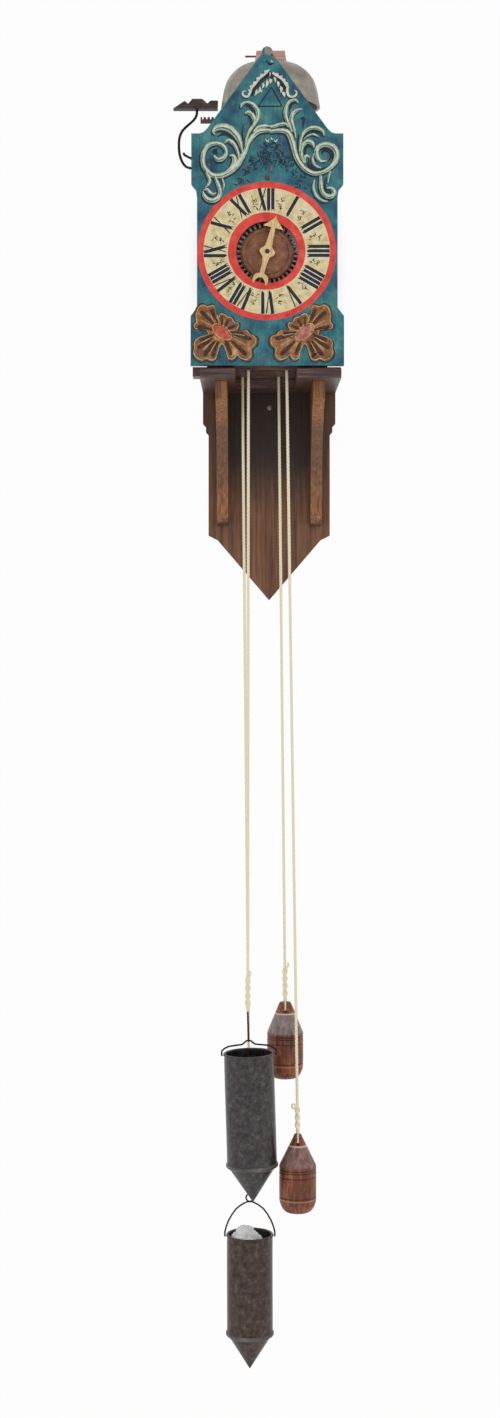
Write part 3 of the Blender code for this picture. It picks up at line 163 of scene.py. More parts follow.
# %% A helper that wires a finish
class Finish:
    """A Principled material whose nodes are added one call at a time."""

    def __init__(self, name, rough, metal=0.0):
        self.material = bpy.data.materials.new(name)
        self.material.use_nodes = True
        self.tree = self.material.node_tree
        self.shader = self.tree.nodes["Principled BSDF"]
        self.shader.inputs["Roughness"].default_value = rough
        self.shader.inputs["Metallic"].default_value = metal
        self.place = self.tree.nodes.new("ShaderNodeTexCoord").outputs["Object"]

    def wire(self, socket, value):
        if isinstance(value, bpy.types.NodeSocket):
            self.tree.links.new(value, socket)
        elif isinstance(value, tuple) and len(value) == 3 and socket.type == "RGBA":
            socket.default_value = (*value, 1.0)
        else:
            socket.default_value = value

    def mapped(self, scale=(1, 1, 1), shift=(0, 0, 0), place=None):
        """The coordinate shifted and scaled."""
        node = self.tree.nodes.new("ShaderNodeMapping")
        self.wire(node.inputs["Vector"], place or self.place)
        node.inputs["Location"].default_value = shift
        node.inputs["Scale"].default_value = scale
        return node.outputs[0]

    def noise(self, size, detail=4.0, rough=0.55, twist=0.0, place=None):
        """Cloudy values from 0 to 1 with features of the given size in metres, or three sizes for streaks."""
        sizes = size if isinstance(size, tuple) else (size, size, size)
        node = self.tree.nodes.new("ShaderNodeTexNoise")
        self.wire(node.inputs["Vector"], self.mapped(tuple(1 / s for s in sizes), place=place))
        node.inputs["Scale"].default_value = 1.0
        node.inputs["Detail"].default_value = detail
        node.inputs["Roughness"].default_value = rough
        node.inputs["Distortion"].default_value = twist
        return node.outputs["Fac"]

    def sums(self, operation, first, second=0.0):
        node = self.tree.nodes.new("ShaderNodeMath")
        node.operation = operation
        for socket, value in zip(node.inputs, (first, second)):
            self.wire(socket, value)
        return node.outputs[0]

    def times(self, first, second):
        return self.sums("MULTIPLY", first, second)

    def plus(self, first, second):
        return self.sums("ADD", first, second)

    def minus(self, first, second):
        return self.sums("SUBTRACT", first, second)

    def distance(self, first, second):
        """How far a point lies from nought, from its two parts."""
        return self.sums("SQRT", self.plus(self.times(first, first), self.times(second, second)))

    def wavering(self, value, size, depth):
        """The value moved up and down by noise, by half the depth each way."""
        return self.plus(value, self.times(self.minus(self.noise(size), 0.5), depth))

    def between(self, value, low, high):
        """0 below low, 1 above high, and a straight line between."""
        node = self.tree.nodes.new("ShaderNodeMapRange")
        node.inputs["From Min"].default_value = low
        node.inputs["From Max"].default_value = high
        self.wire(node.inputs["Value"], value)
        return node.outputs[0]

    def mix(self, factor, first, second):
        node = self.tree.nodes.new("ShaderNodeMix")
        node.data_type = "RGBA"
        self.wire(node.inputs[0], factor)
        self.wire(node.inputs[6], first)
        self.wire(node.inputs[7], second)
        return node.outputs[2]

    def tint(self, base, mask, share, colour):
        """The base turned toward a colour where the mask is 1, by the given share."""
        return self.mix(self.times(mask, share), base, colour)

    def ramp(self, value, *stops):
        """Colours at places from 0 to 1."""
        node = self.tree.nodes.new("ShaderNodeValToRGB")
        bar = node.color_ramp.elements
        while len(bar) < len(stops):
            bar.new(0.5)
        for element, (position, colour) in zip(bar, stops):
            element.position = position
            element.color = (*colour, 1.0)
        self.wire(node.inputs[0], value)
        return node.outputs[0]

    def parts_of(self, vector):
        node = self.tree.nodes.new("ShaderNodeSeparateXYZ")
        self.wire(node.inputs[0], vector)
        return node.outputs

    def bump(self, height, depth):
        """Small relief: height from 0 to 1 stands for this depth in metres."""
        node = self.tree.nodes.new("ShaderNodeBump")
        node.inputs["Strength"].default_value = 1.0
        node.inputs["Distance"].default_value = depth
        self.wire(node.inputs["Height"], height)
        self.wire(self.shader.inputs["Normal"], node.outputs[0])

    def colour(self, value):
        self.wire(self.shader.inputs["Base Color"], value)

    def rough(self, value):
        self.wire(self.shader.inputs["Roughness"], value)


def srgb(red, green, blue):
    """Linear values of a colour named by its 0 to 255 screen values."""
    channel = np.array([red, green, blue]) / 255
    return tuple(np.where(channel <= 0.04045, channel / 12.92, ((channel + 0.055) / 1.055) ** 2.4).tolist())


# %% [markdown]
# ## Wood
# Wood is long streaks: noise squeezed hard along the grain. Fine pores are a second, thinner set of streaks.
# Hand wear comes as broad clouds that lighten the colour, and the dark years settle between them.

# %% Wood finishes
# Painted shade with some soot: the wood darkens under the shelf and at the brackets' downward-facing feet.
SHADE_AND_SOOT, SHADE_AND_SOOT_MOST, SHADE_AND_SOOT_LEFT_OUT = srgb(20, 12, 11), 0.86, 0.30
SHADE_AND_SOOT_FACE_Y = (-0.008, -0.014)  # painted shade and soot lie on front faces only
# A painted reflection: a grey band across the brackets' front faces.
PAINTED_REFLECTION, PAINTED_REFLECTION_MOST = srgb(84, 66, 58), 0.55
WORN = 0.25  # how far the pale clouds come through


def wood(name, dark, middle, pale, grain="z", rough=0.5, streak=0.0025, length=0.05, shade_and_soot=None, reflection_band=None):
    """Streaks along one axis; the last two arguments give the heights and widths of painted shade with soot, and of a
    painted grey reflection.
    """
    sizes = tuple(length if axis == grain else streak for axis in "xyz")
    pores = tuple(size * (0.5 if axis == grain else 0.28) for axis, size in zip("xyz", sizes))
    made = Finish(name, rough)
    broad = made.noise(sizes, detail=5.0, twist=0.6)
    fine = made.noise(pores, detail=3.0)
    clouds = made.between(made.noise(0.035, detail=5.0), 0.48, 0.72)
    colour = made.ramp(broad, (0.28, dark), (0.52, middle), (0.78, pale))
    colour = made.tint(colour, made.between(fine, 0.55, 0.78), 0.55, dark)
    colour = made.tint(colour, clouds, WORN, pale)
    # painted reflection: a grey band between two heights
    if reflection_band:
        z = made.parts_of(made.place)[2]
        reflected = made.times(made.between(z, reflection_band[0], reflection_band[1]), made.between(z, reflection_band[3], reflection_band[2]))
        colour = made.tint(colour, reflected, PAINTED_REFLECTION_MOST, PAINTED_REFLECTION)
    # painted shade with soot: darker past the given height, strongest in the middle
    if shade_and_soot:
        x, y, z = made.parts_of(made.place)
        edge = made.wavering(z, 0.03, 0.04)
        inner = made.between(made.sums("ABSOLUTE", x), shade_and_soot[3], shade_and_soot[2])
        share = made.times(made.between(edge, shade_and_soot[0], shade_and_soot[1]), made.plus(inner, SHADE_AND_SOOT_LEFT_OUT))
        share = made.times(share, made.between(y, *SHADE_AND_SOOT_FACE_Y))
        colour = made.mix(made.sums("MINIMUM", share, SHADE_AND_SOOT_MOST), colour, SHADE_AND_SOOT)
    made.colour(colour)
    made.rough(made.plus(made.times(broad, 0.25), rough - 0.12))
    made.bump(made.minus(broad, made.times(fine, 0.7)), 0.0003)
    return made.material


# The back board gets painted shade and soot under the shelf; the brackets get painted shade at their feet and a painted
# reflection on their fronts.
oak_board = wood("dark_oak_board", srgb(78, 45, 28), srgb(124, 81, 52), srgb(160, 113, 78), "z", 0.42, 0.004, 0.09,
                 shade_and_soot=(-0.052, 0.058, 0.050, 0.085))
oak_arm = wood("dark_oak_arm", srgb(92, 54, 28), srgb(154, 100, 58), srgb(208, 150, 100), "z", 0.42, 0.003, 0.05,
               shade_and_soot=(-0.058, -0.072, 1.0, 2.0), reflection_band=(-0.045, 0.010, 0.052, 0.066))
oak_across = wood("dark_oak_across", srgb(38, 24, 24), srgb(88, 62, 56), srgb(146, 112, 102), "x", 0.36, 0.0035)
beech_upright = wood("beech_upright", srgb(92, 64, 44), srgb(136, 98, 66), srgb(170, 130, 92), "z", 0.6)
beech_across = wood("beech_across", srgb(84, 58, 42), srgb(126, 92, 64), srgb(160, 122, 88), "x", 0.6)
wheel_wood = wood("wheel_wood", srgb(66, 38, 28), srgb(104, 64, 46), srgb(140, 96, 70), "x", 0.5)
arbor_wood = wood("arbor_wood", srgb(70, 46, 34), srgb(112, 78, 56), srgb(150, 112, 80), "y", 0.5)
tooth_wood = wood("tooth_wood", srgb(104, 92, 98), srgb(160, 146, 152), srgb(200, 188, 192), "x", 0.55)
pink_block = wood("pink_block", srgb(186, 138, 122), srgb(220, 178, 163), srgb(240, 210, 199), "x", 0.6)
print("wood finishes:", sum("wood" in m.name or "oak" in m.name or "beech" in m.name for m in bpy.data.materials))

# %% [markdown]
# ## Metal, rope and stone
# Forged iron is nearly black with a dull sheen. The bell is a grey bronze casting with faint turning lines.
# The tins are blackened sheet metal, speckled where the black has rubbed off, and the ropes are pale cotton.

# %% Metal finishes
def speckled_metal(name, dark, middle, pale, rough, metal, cell=0.0016, cloud=0.02):
    """Broad clouds of two tones with fine pale specks where the surface has rubbed through."""
    made = Finish(name, rough, metal)
    clouds = made.noise(cloud, detail=6.0, rough=0.65)
    colour = made.ramp(clouds, (0.30, dark), (0.55, middle), (0.80, pale))
    specks = made.between(made.noise(cell, detail=3.0, rough=0.7), 0.58, 0.72)
    colour = made.tint(colour, specks, 0.55, pale)
    made.colour(colour)
    made.rough(made.plus(made.times(clouds, 0.3), rough - 0.15))
    made.bump(made.noise(cell * 1.6, detail=4.0), 0.00018)
    return made.material


forged_iron = speckled_metal("forged_iron", srgb(18, 16, 16), srgb(34, 31, 31), srgb(66, 60, 58), 0.5, 0.55)
worn_iron = speckled_metal("worn_iron", srgb(50, 40, 38), srgb(84, 70, 66), srgb(128, 112, 106), 0.55, 0.4)
bronze = speckled_metal("bell_bronze", srgb(136, 122, 106), srgb(176, 163, 144), srgb(206, 193, 173), 0.42, 0.30,
                        0.0024, 0.045)
tin = speckled_metal("blackened_tin", srgb(50, 47, 47), srgb(82, 77, 78), srgb(124, 118, 117), 0.33, 0.64, cloud=0.006)
brown_tin = speckled_metal("brown_tin", srgb(50, 41, 38), srgb(86, 71, 65), srgb(128, 112, 104), 0.33, 0.64,
                           cloud=0.007)
solder = speckled_metal("solder_seam", srgb(64, 61, 58), srgb(106, 102, 98), srgb(172, 168, 162), 0.4, 0.5)
lead = speckled_metal("lead_grey", srgb(84, 84, 86), srgb(118, 118, 121), srgb(150, 150, 154), 0.55, 0.3)
steel = speckled_metal("screw_steel", srgb(120, 116, 110), srgb(170, 166, 158), srgb(206, 202, 194), 0.35, 0.6)
chalk = speckled_metal("chalk_lumps", srgb(214, 213, 211), srgb(240, 240, 239), srgb(253, 253, 252), 0.85, 0.0)
print("metals ready")

# %% Turned weights, boxwood and rope
def turned_wood(name, dark, middle, pale, rough, along=0.03, streak=0.004):
    """A turned piece: upright streaks, with thin dark tool lines stacked along its height."""
    made = Finish(name, rough)
    streaks = made.noise((streak, streak, along), detail=5.0, twist=0.8)
    lines = made.noise((0.2, 0.2, 0.0011), detail=2.0)
    colour = made.ramp(streaks, (0.26, dark), (0.52, middle), (0.80, pale))
    colour = made.tint(colour, made.between(lines, 0.56, 0.70), 0.45, dark)
    made.colour(colour)
    made.bump(made.plus(streaks, lines), 0.00025)
    return made.material


weight_wood = turned_wood("turned_weight", srgb(66, 28, 20), srgb(122, 62, 42), srgb(164, 98, 68), 0.38)
boxwood = turned_wood("boxwood", srgb(196, 146, 80), srgb(246, 212, 152), srgb(255, 241, 204), 0.36, 0.02, 0.002)

cotton = Finish("cotton_rope", 0.9)
fibres = cotton.noise((0.0006, 0.0006, 0.004), detail=3.0)
cotton.colour(cotton.ramp(fibres, (0.25, srgb(244, 220, 172)), (0.50, srgb(255, 242, 208)),
                          (0.75, srgb(255, 250, 232))))
cotton.bump(fibres, 0.00015)
rope = cotton.material
print("finishes so far:", len(bpy.data.materials))

# %% [markdown]
# ## The painted dial plate
# The plate is one board painted blue, with red and cream rings round the opening.
# The rings are painted by distance from the dial's middle, so they stay exact at any size.
# The colour wanders between blue and green, and the brush marks run with the grain.

# %% Blue paint with the dial's rings
DIAL_X, DIAL_Z = -0.0047, 0.2655
RING_IN, RING_OUT = 0.0486, 0.0788
DIAL_EDGE = 0.0866
APEX_X, APEX_Z = -0.0012, 0.5165  # where hands have worn the gable's tip to bare grey wood
paint = Finish("blue_paint_and_rings", 0.55)
px, py, pz = paint.parts_of(paint.place)
wander = paint.noise(0.03, detail=6.0, rough=0.6)
strokes = paint.noise((0.0016, 0.004, 0.03), detail=4.0, rough=0.6)
blue = paint.ramp(wander, (0.32, srgb(14, 58, 88)), (0.46, srgb(32, 104, 124)), (0.56, srgb(45, 128, 137)),
                  (0.70, srgb(98, 160, 148)))
blue = paint.tint(blue, paint.between(strokes, 0.50, 0.74), 0.55, srgb(30, 58, 82))
blue = paint.tint(blue, paint.between(strokes, 0.42, 0.26), 0.35, srgb(96, 142, 146))
rubbed = paint.between(paint.noise(0.006, detail=6.0, rough=0.7), 0.66, 0.76)
blue = paint.tint(blue, rubbed, 0.7, srgb(116, 106, 104))
elsewhere = paint.mapped(shift=(3.1, 0.7, 1.9))
patches = paint.between(paint.noise(0.022, detail=6.0, rough=0.7, place=elsewhere), 0.56, 0.72)
blue = paint.tint(blue, patches, 0.60, srgb(118, 98, 100))
flecks = paint.noise(0.0075, detail=5.0, rough=0.7, place=paint.mapped(shift=(1.3, 2.9, 0.4)))
blue = paint.tint(blue, paint.between(flecks, 0.56, 0.70), 0.50, srgb(66, 66, 104))
blue = paint.tint(blue, paint.between(flecks, 0.46, 0.33), 0.55, srgb(68, 146, 130))
scratch = paint.between(paint.noise((0.0005, 0.004, 0.018), detail=2.0), 0.66, 0.72)
blue = paint.tint(blue, scratch, 0.6, srgb(18, 40, 54))
from_apex = paint.distance(paint.minus(px, APEX_X), paint.minus(pz, APEX_Z))
bare = paint.between(paint.wavering(from_apex, 0.006, 0.012), 0.0085, 0.0055)
blue = paint.mix(bare, blue, paint.ramp(strokes, (0.3, srgb(116, 112, 100)), (0.7, srgb(176, 170, 152))))
from_middle = paint.distance(paint.minus(px, DIAL_X), paint.minus(pz, DIAL_Z))
radius = paint.wavering(from_middle, 0.012, 0.0014)
red = paint.ramp(paint.noise(0.012, detail=5.0), (0.30, srgb(210, 50, 42)), (0.55, srgb(244, 76, 62)),
                 (0.80, srgb(246, 116, 98)))
cream = paint.ramp(paint.noise(0.008, detail=7.0, rough=0.65), (0.30, srgb(200, 174, 118)),
                   (0.50, srgb(238, 222, 168)), (0.72, srgb(250, 241, 206)))
stain = paint.between(paint.noise(0.005, detail=6.0, rough=0.7), 0.60, 0.74)
cream = paint.tint(cream, stain, 0.5, srgb(186, 140, 118))
EDGE_SOFT = 0.0004
LINE, PALE_LINE = 0.0011, srgb(240, 226, 196)
PAINT_DEPTH = (0.0012, 0.0022)  # behind the face, where the board's bare edge begins


def ring_mask(low, high):
    """1 between two radii, with soft edges."""
    inside = paint.between(radius, low - EDGE_SOFT, low + EDGE_SOFT)
    return paint.times(inside, paint.between(radius, high + EDGE_SOFT, high - EDGE_SOFT))


face = paint.mix(ring_mask(0.0, DIAL_EDGE), blue, red)
face = paint.mix(ring_mask(RING_IN, RING_OUT), face, cream)
for line_low in (RING_OUT - LINE, RING_IN):
    face = paint.mix(ring_mask(line_low, line_low + LINE), face, PALE_LINE)
PLATE_FACE_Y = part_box("dial_plate")[0][1]
edge_wood = paint.ramp(strokes, (0.3, srgb(40, 34, 32)), (0.7, srgb(88, 74, 62)))
paint.colour(paint.mix(paint.between(py, *(PLATE_FACE_Y + depth for depth in PAINT_DEPTH)), face, edge_wood))
paint.rough(paint.plus(paint.times(strokes, 0.3), 0.38))
paint.bump(paint.plus(strokes, paint.times(rubbed, -0.8)), 0.00028)
painted_plate = paint.material
print("dial rings at", RING_IN, RING_OUT, DIAL_EDGE)

# %% Give every solid its finish
SOLIDS_OF_FINISH = [
    (oak_board, "back_board"), (oak_across, "shelf base_board"), (oak_arm, "bracket_left bracket_right"),
    (beech_across, "top_board upper_batten lower_batten"),
    (beech_upright, "post_front_left post_front_right post_rear_left post_rear_right"),
    (beech_upright, "front_bar middle_bar rear_bar bell_post"),
    (painted_plate, "dial_plate"), (bronze, "bell"), (pink_block, "bell_block"), (boxwood, "hand"),
    (weight_wood, "plate_peg counterweight_front counterweight_rear"), (tooth_wood, "hour_wheel"),
    (forged_iron, "stop_spring verge_staff hammer_arbor bail_front bail_rear"), (chalk, "shot_fill"),
    (worn_iron, "hour_arbor foliot_bar hammer_head"), (lead, "foliot_weight_left foliot_weight_right"),
    (tin, "canister_front canister_rear"), (wheel_wood, "hour_disc front_pulley rear_pulley fly_vane count_wheel"),
    (wheel_wood, "going_great_wheel going_second_wheel crown_wheel strike_great_wheel strike_second_wheel"),
    (arbor_wood, "bell_pin going_great_arbor going_second_arbor crown_arbor strike_great_arbor strike_second_arbor"),
    (arbor_wood, "fly_arbor"),
]
node_finish = {node: finish for finish, nodes in SOLIDS_OF_FINISH for node in nodes.split()}
for node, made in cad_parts.items():
    made.material_slots[0].material = node_finish.get(node, rope)
print("solids with a finish:", len(node_finish), "ropes:", len(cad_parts) - len(node_finish))

# %% [markdown]
# ## The white wall
# The wall is mostly white by itself, and the rest of it takes light and shadow from the clock.
# It shows from the front only: from behind it lets the eye through, and it neither blocks nor bounces light.
# Right behind the movement a soft shadow is painted on as a dim glow, so the gaps between the hour wheel's teeth stay
# dark.

# %% White wall with a painted soft shadow
OWN_WHITE = 0.955
SHADOW_X, SHADOW_Z = -0.003, 0.275
SHADOW_WIDE, SHADOW_TALL, SHADOW_CORE = 0.112, 0.235, 0.30
wall_white = Finish("white_wall", 0.9)
wall_white.shader.inputs["Base Color"].default_value = (0.86, 0.87, 0.88, 1.0)
wx, _, wz = wall_white.parts_of(wall_white.place)
beside = wall_white.sums("DIVIDE", wall_white.minus(wx, SHADOW_X), SHADOW_WIDE)
level = wall_white.sums("DIVIDE", wall_white.minus(wz, SHADOW_Z), SHADOW_TALL)
lifted = wall_white.between(wall_white.distance(beside, level), SHADOW_CORE, 1.0)
eased = wall_white.minus(3.0, wall_white.times(lifted, 2.0))
open_wall = wall_white.times(eased, wall_white.times(lifted, lifted))
add_node = wall_white.tree.nodes.new


def shader_mix(factor, first, second):
    """The first shader where the factor is 0, the second where it is 1."""
    node = add_node("ShaderNodeMixShader")
    for socket, value in zip(node.inputs, (factor, first, second)):
        wall_white.wire(socket, value)
    return node.outputs[0]


# Painted shadow: a dim glow that stands for the clock's shade on the wall behind the movement.
dark = add_node("ShaderNodeEmission")
dark.inputs["Color"].default_value = (0.13, 0.132, 0.138, 1.0)
white = shader_mix(OWN_WHITE, wall_white.shader.outputs[0], add_node("ShaderNodeEmission").outputs[0])
masked = shader_mix(open_wall, dark.outputs[0], white)
seen_behind = add_node("ShaderNodeNewGeometry").outputs["Backfacing"]
one_sided = shader_mix(seen_behind, masked, add_node("ShaderNodeBsdfTransparent").outputs[0])
wall_white.wire(wall_white.tree.nodes["Material Output"].inputs["Surface"], one_sided)
wall.data.materials.append(wall_white.material)
print("wall shows", OWN_WHITE, "of its own white")

# %% [markdown]
# ## Ropes
# Each weight hangs on a pale three-strand rope that runs up through the shelf and over a pulley to its counterweight.
# A rope is a three-lobed profile that turns as it is carried along its path, so the strands are real geometry.
# The path lies in an upright plane, so one side direction serves all of it.

# %% A twisted rope along a path
MM = 0.001
ROPE_R = 0.002
STRAND_PITCH = 0.013
ROPE_STEP = 0.0009


def along(points, step):
    """Points at even steps along a broken line."""
    points = np.asarray(points, float)
    run = np.concatenate([[0], np.cumsum(np.linalg.norm(np.diff(points, axis=0), axis=1))])
    places = np.linspace(0, run[-1], max(int(run[-1] / step), 2) + 1)
    return np.stack([np.interp(places, run, points[:, k]) for k in range(3)], -1), places


def curve_through(points, count):
    """A smooth curve through points: each span blends two straight continuations (Catmull-Rom)."""
    p = np.asarray(points, float)
    p = np.concatenate([[2 * p[0] - p[1]], p, [2 * p[-1] - p[-2]]])
    t = np.linspace(0, len(p) - 3, count)
    i = np.minimum(t.astype(int), len(p) - 4)
    f = (t - i)[:, None]
    a, b, c, d = p[i], p[i + 1], p[i + 2], p[i + 3]
    return 0.5 * (2 * b + (c - a) * f + (2 * a - 5 * b + 4 * c - d) * f**2 + (3 * b - a - 3 * c + d) * f**3)


def tube(name, points, radius, columns=12, side=(0, 1, 0), lobes=0, depth=0.0, pitch=1.0, step=ROPE_STEP):
    """A profile carried along a path: radius r(s) (1 - d + d cos(n (a - 2 pi s / p))) at angle a and length s."""
    line, s = along(points, step)
    forward = np.gradient(line, axis=0)
    forward /= np.linalg.norm(forward, axis=1, keepdims=True)
    across = np.cross(forward, np.asarray(side, float))
    across /= np.linalg.norm(across, axis=1, keepdims=True)
    upright = np.cross(across, forward)
    a = round_angles(columns)
    wide = np.interp(s, *radius) if isinstance(radius, tuple) else np.full(len(s), radius)
    wave = 1 - depth + depth * np.cos(lobes * (a[None] - 2 * np.pi * s[:, None] / pitch))
    r = wide[:, None] * wave
    points = line[:, None] + r[..., None] * (np.cos(a)[None, :, None] * across[:, None]
                                             + np.sin(a)[None, :, None] * upright[:, None])
    ends = np.concatenate([[line[0]], points.reshape(-1, 3), [line[-1]]])
    quads = grid_faces(len(s), columns, closed_columns=True) + 1
    c = np.arange(columns)
    first = np.stack([np.zeros_like(c), (c + 1) % columns + 1, c + 1, c + 1], -1)
    last = (len(s) - 1) * columns + 1
    final = np.stack([np.full_like(c, len(ends) - 1), last + c, last + (c + 1) % columns, last + c], -1)
    caps = [f[:3] for f in np.concatenate([first, final]).tolist()]
    return welded(mesh_object(name, ends, quads.tolist() + caps), FINE_WELD)


def finished(made, finish, body=None, nodes=()):
    """Gives a new piece its finish, its body and the solids it stands for."""
    made.data.materials.append(finish)
    if body:
        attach(made, body)
    if nodes:
        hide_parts(*nodes)
    return made


# %% Two strands wound on each other where a rope is tied back
WIND_R, WIND_PITCH = 0.0019, 0.0190
STRAND_R = 0.0019
STRAND = {"lobes": 3, "depth": 0.12, "pitch": 0.008}
UPRIGHT_SIDE = np.array([0.0, 1.0, 0.0])


def lashing(name, foot, back, length):
    """Two strands on helices of opposite phase: foot + t back + r (cos a, sin a), with a = 2 pi t / pitch."""
    t = np.linspace(0, length, int(length / ROPE_STEP))
    r = WIND_R * np.clip(np.minimum(t, length - t) / 0.004, 0.2, 1)
    side = np.cross(back, UPRIGHT_SIDE)
    strands = []
    for count, phase in ((1, 0.0), (2, np.pi)):
        a = 2 * np.pi * t / WIND_PITCH + phase
        path = foot + t[:, None] * back + (r * np.cos(a))[:, None] * side + (r * np.sin(a))[:, None] * UPRIGHT_SIDE
        strands.append(tube(f"{name}_strand_{count}", path, STRAND_R, **STRAND))
    return strands


# %% The four hanging runs, their lashings and loops
PULLEY_R = 0.0235
TAIL_R, LOOP_R = 0.0014, 0.0010
ROPE = {"lobes": 3, "depth": 0.10, "pitch": STRAND_PITCH}
RUNS = {
    "front_canister": (-0.0275, -0.170, -0.02848, "canister_front_body", 0.046),
    "front_counterweight": (0.0195, -0.170, 0.0350, "counterweight_front_body", 0.036),
    "rear_canister": (-0.0363, -0.092, -0.0258, "canister_rear_body", 0.030),
    "rear_counterweight": (0.0107, -0.092, 0.0203, "counterweight_rear_body", 0.045),
}
TAILS = {
    "front_canister": [(0.5, -3.0), (3.0, 0.5), (3.4, 3.0), (2.6, 5.5)],
    "front_counterweight": [(-0.5, -4.0), (-3.6, 0.8), (-6.2, 0.6), (-7.0, -2.6), (-4.6, -4.4), (-2.4, -2.8)],
    "rear_canister": [(-0.5, -3.0), (-3.0, 0.4), (-3.6, 3.0)],
    "rear_counterweight": [(0.5, -4.0), (3.2, 0.0), (4.6, 2.6), (3.8, 5.4)],
}
NECK_LOOP = [(0.0, 3.0), (-6.0, 1.4), (-9.6, -3.6), (-11.0, -7.4), (-9.0, -9.4), (0.0, -9.4), (9.0, -9.4),
             (11.0, -7.4), (9.6, -3.6), (6.0, 1.4), (0.0, 3.0)]
for name, (x, y, foot_x, body, knot) in RUNS.items():
    node_low, node_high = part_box(f"rope_{name}")
    top = (x, y, node_high[2])
    foot = (foot_x, y, node_low[2])
    run = tube(f"{name}_rope", [top, foot], ROPE_R, **ROPE)
    finished(run, rope, nodes=[f"rope_{name}"])
    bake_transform(run)
    back = np.subtract(top, foot) / np.linalg.norm(np.subtract(top, foot))
    tied = lashing(f"{name}_lashing", np.array(foot) + back * MM, back, knot)
    crown_at = np.array(foot) + back * knot
    tail = np.array([crown_at + (dx * MM, -2 * MM, dz * MM) for dx, dz in TAILS[name]])
    tied.append(tube(f"{name}_tail", curve_through(tail, 24), TAIL_R, **STRAND))
    if "counterweight" in name:
        loop = np.array([(foot_x, y + dy * MM, node_low[2] + dz * MM) for dy, dz in NECK_LOOP])
        tied.append(tube(f"{name}_loop", curve_through(loop, 80), LOOP_R, 10, side=(1, 0, 0), lobes=3, depth=0.1,
                         pitch=0.008))
    for piece in tied:
        finished(piece, rope, body)

# %% The turns over the pulleys
AXLE_Z = 0.2215167
OPEN_ANGLE = 0.013  # left free where the hanging runs begin
for name, middle, y in (("front", -0.004, -0.170), ("rear", -0.0128, -0.092)):
    a = np.linspace(np.pi - OPEN_ANGLE, OPEN_ANGLE, 25)
    arc = np.stack([middle + PULLEY_R * np.cos(a), np.full_like(a, y), AXLE_Z + PULLEY_R * np.sin(a)], -1)
    turn = tube(f"{name}_turn", arc, ROPE_R, **ROPE)
    finished(turn, rope, "frame", [f"rope_{name}_turn"])

# %% [markdown]
# ## Painted ornament
# The scrolls, numbers and shells are brush work on the plate. Each brush stroke is a flat, slightly domed ribbon:
# an ellipse carried along a curve, half sunk in the board, wide in the middle and thin at its ends.
# Places are in millimetres on the plate, across from its middle and up from the wall plate's origin.

# %% Brush strokes
STROKE_LIFT, SHADE_LIFT, SPRIG_LIFT = 0.00035, 0.00018, 0.0002


def stroke_shell(points, widths, lift, count, columns=10):
    """Points and faces of one stroke: across w(s) cos a, out of the board h sin a, along the curve."""
    line = curve_through(points, count)
    s = np.linspace(0, 1, count)
    wide = np.interp(s, np.linspace(0, 1, len(widths)), widths)
    forward = np.gradient(line, axis=0)
    forward /= np.linalg.norm(forward, axis=1, keepdims=True) + 1e-9
    normal = np.stack([-forward[:, 1], forward[:, 0]], -1)
    a = round_angles(columns)
    flat = line[:, None] + wide[:, None, None] * np.cos(a)[None, :, None] * normal[:, None]
    out = np.broadcast_to(PLATE_FACE_Y - lift * np.sin(a), flat.shape[:2])
    rings = np.stack([flat[..., 0] * MM, out, flat[..., 1] * MM], -1).reshape(-1, 3)
    tips = np.stack([line[[0, -1], 0] * MM, np.full(2, out[0, 0]), line[[0, -1], 1] * MM], -1)
    c = np.arange(columns)
    start = np.stack([np.full(columns, count * columns), (c + 1) % columns, c, c], -1)
    stop = (count - 1) * columns
    end = np.stack([np.full(columns, count * columns + 1), stop + c, stop + (c + 1) % columns, stop + c], -1)
    return np.concatenate([rings, tips]), np.concatenate([grid_faces(count, columns, closed_columns=True), start, end])


def brushwork(name, strokes, lift=STROKE_LIFT, shift=(0, 0), scale=1.0, count=28):
    """One object from many strokes, each (points, half widths) in millimetres."""
    shells = [stroke_shell(np.add(points, shift), np.multiply(widths, scale), lift, count)
              for points, widths in strokes]
    starts = np.cumsum([0] + [len(points) for points, _ in shells[:-1]])
    made = mesh_object(name, np.concatenate([p for p, _ in shells]),
                       np.concatenate([f + first for (_, f), first in zip(shells, starts)]))
    return welded(made, FINE_WELD)


def painted(name, finish, strokes, *how, **more):
    """Brush work on the plate, with its paint."""
    return finished(brushwork(name, strokes, *how, **more), finish, "frame")


# %% Paints for the brush work
def brush_paint(name, deep, middle, pale, size=0.006, rough=0.55):
    made = Finish(name, rough)
    clouds = made.noise(size, detail=5.0, rough=0.65)
    made.colour(made.ramp(clouds, (0.32, deep), (0.52, middle), (0.72, pale)))
    made.bump(made.noise((0.0008, 0.004, 0.0008)), 0.00015)
    return made.material


scroll_cream = brush_paint("scroll_cream", srgb(104, 148, 138), srgb(174, 196, 166), srgb(222, 222, 184), 0.004)
scroll_green = brush_paint("scroll_green", srgb(24, 62, 72), srgb(56, 102, 102), srgb(110, 146, 132))
scroll_white = brush_paint("scroll_white", srgb(186, 200, 178), srgb(228, 229, 206), srgb(246, 244, 230), 0.004)
scroll_shade = brush_paint("scroll_shade", srgb(8, 18, 34), srgb(15, 36, 56), srgb(28, 64, 84))
chalk_line = brush_paint("chalk_line", srgb(226, 222, 206), srgb(246, 243, 232), srgb(252, 250, 244))
number_black = brush_paint("number_black", srgb(12, 16, 16), srgb(24, 30, 29), srgb(56, 61, 58), 0.003)
sprig_mixed = brush_paint("sprig_mixed", srgb(24, 34, 36), srgb(66, 66, 54), srgb(182, 72, 60), 0.004)
print("paints:", [m.name for m in bpy.data.materials if m.name.startswith(("scroll", "number", "sprig"))])

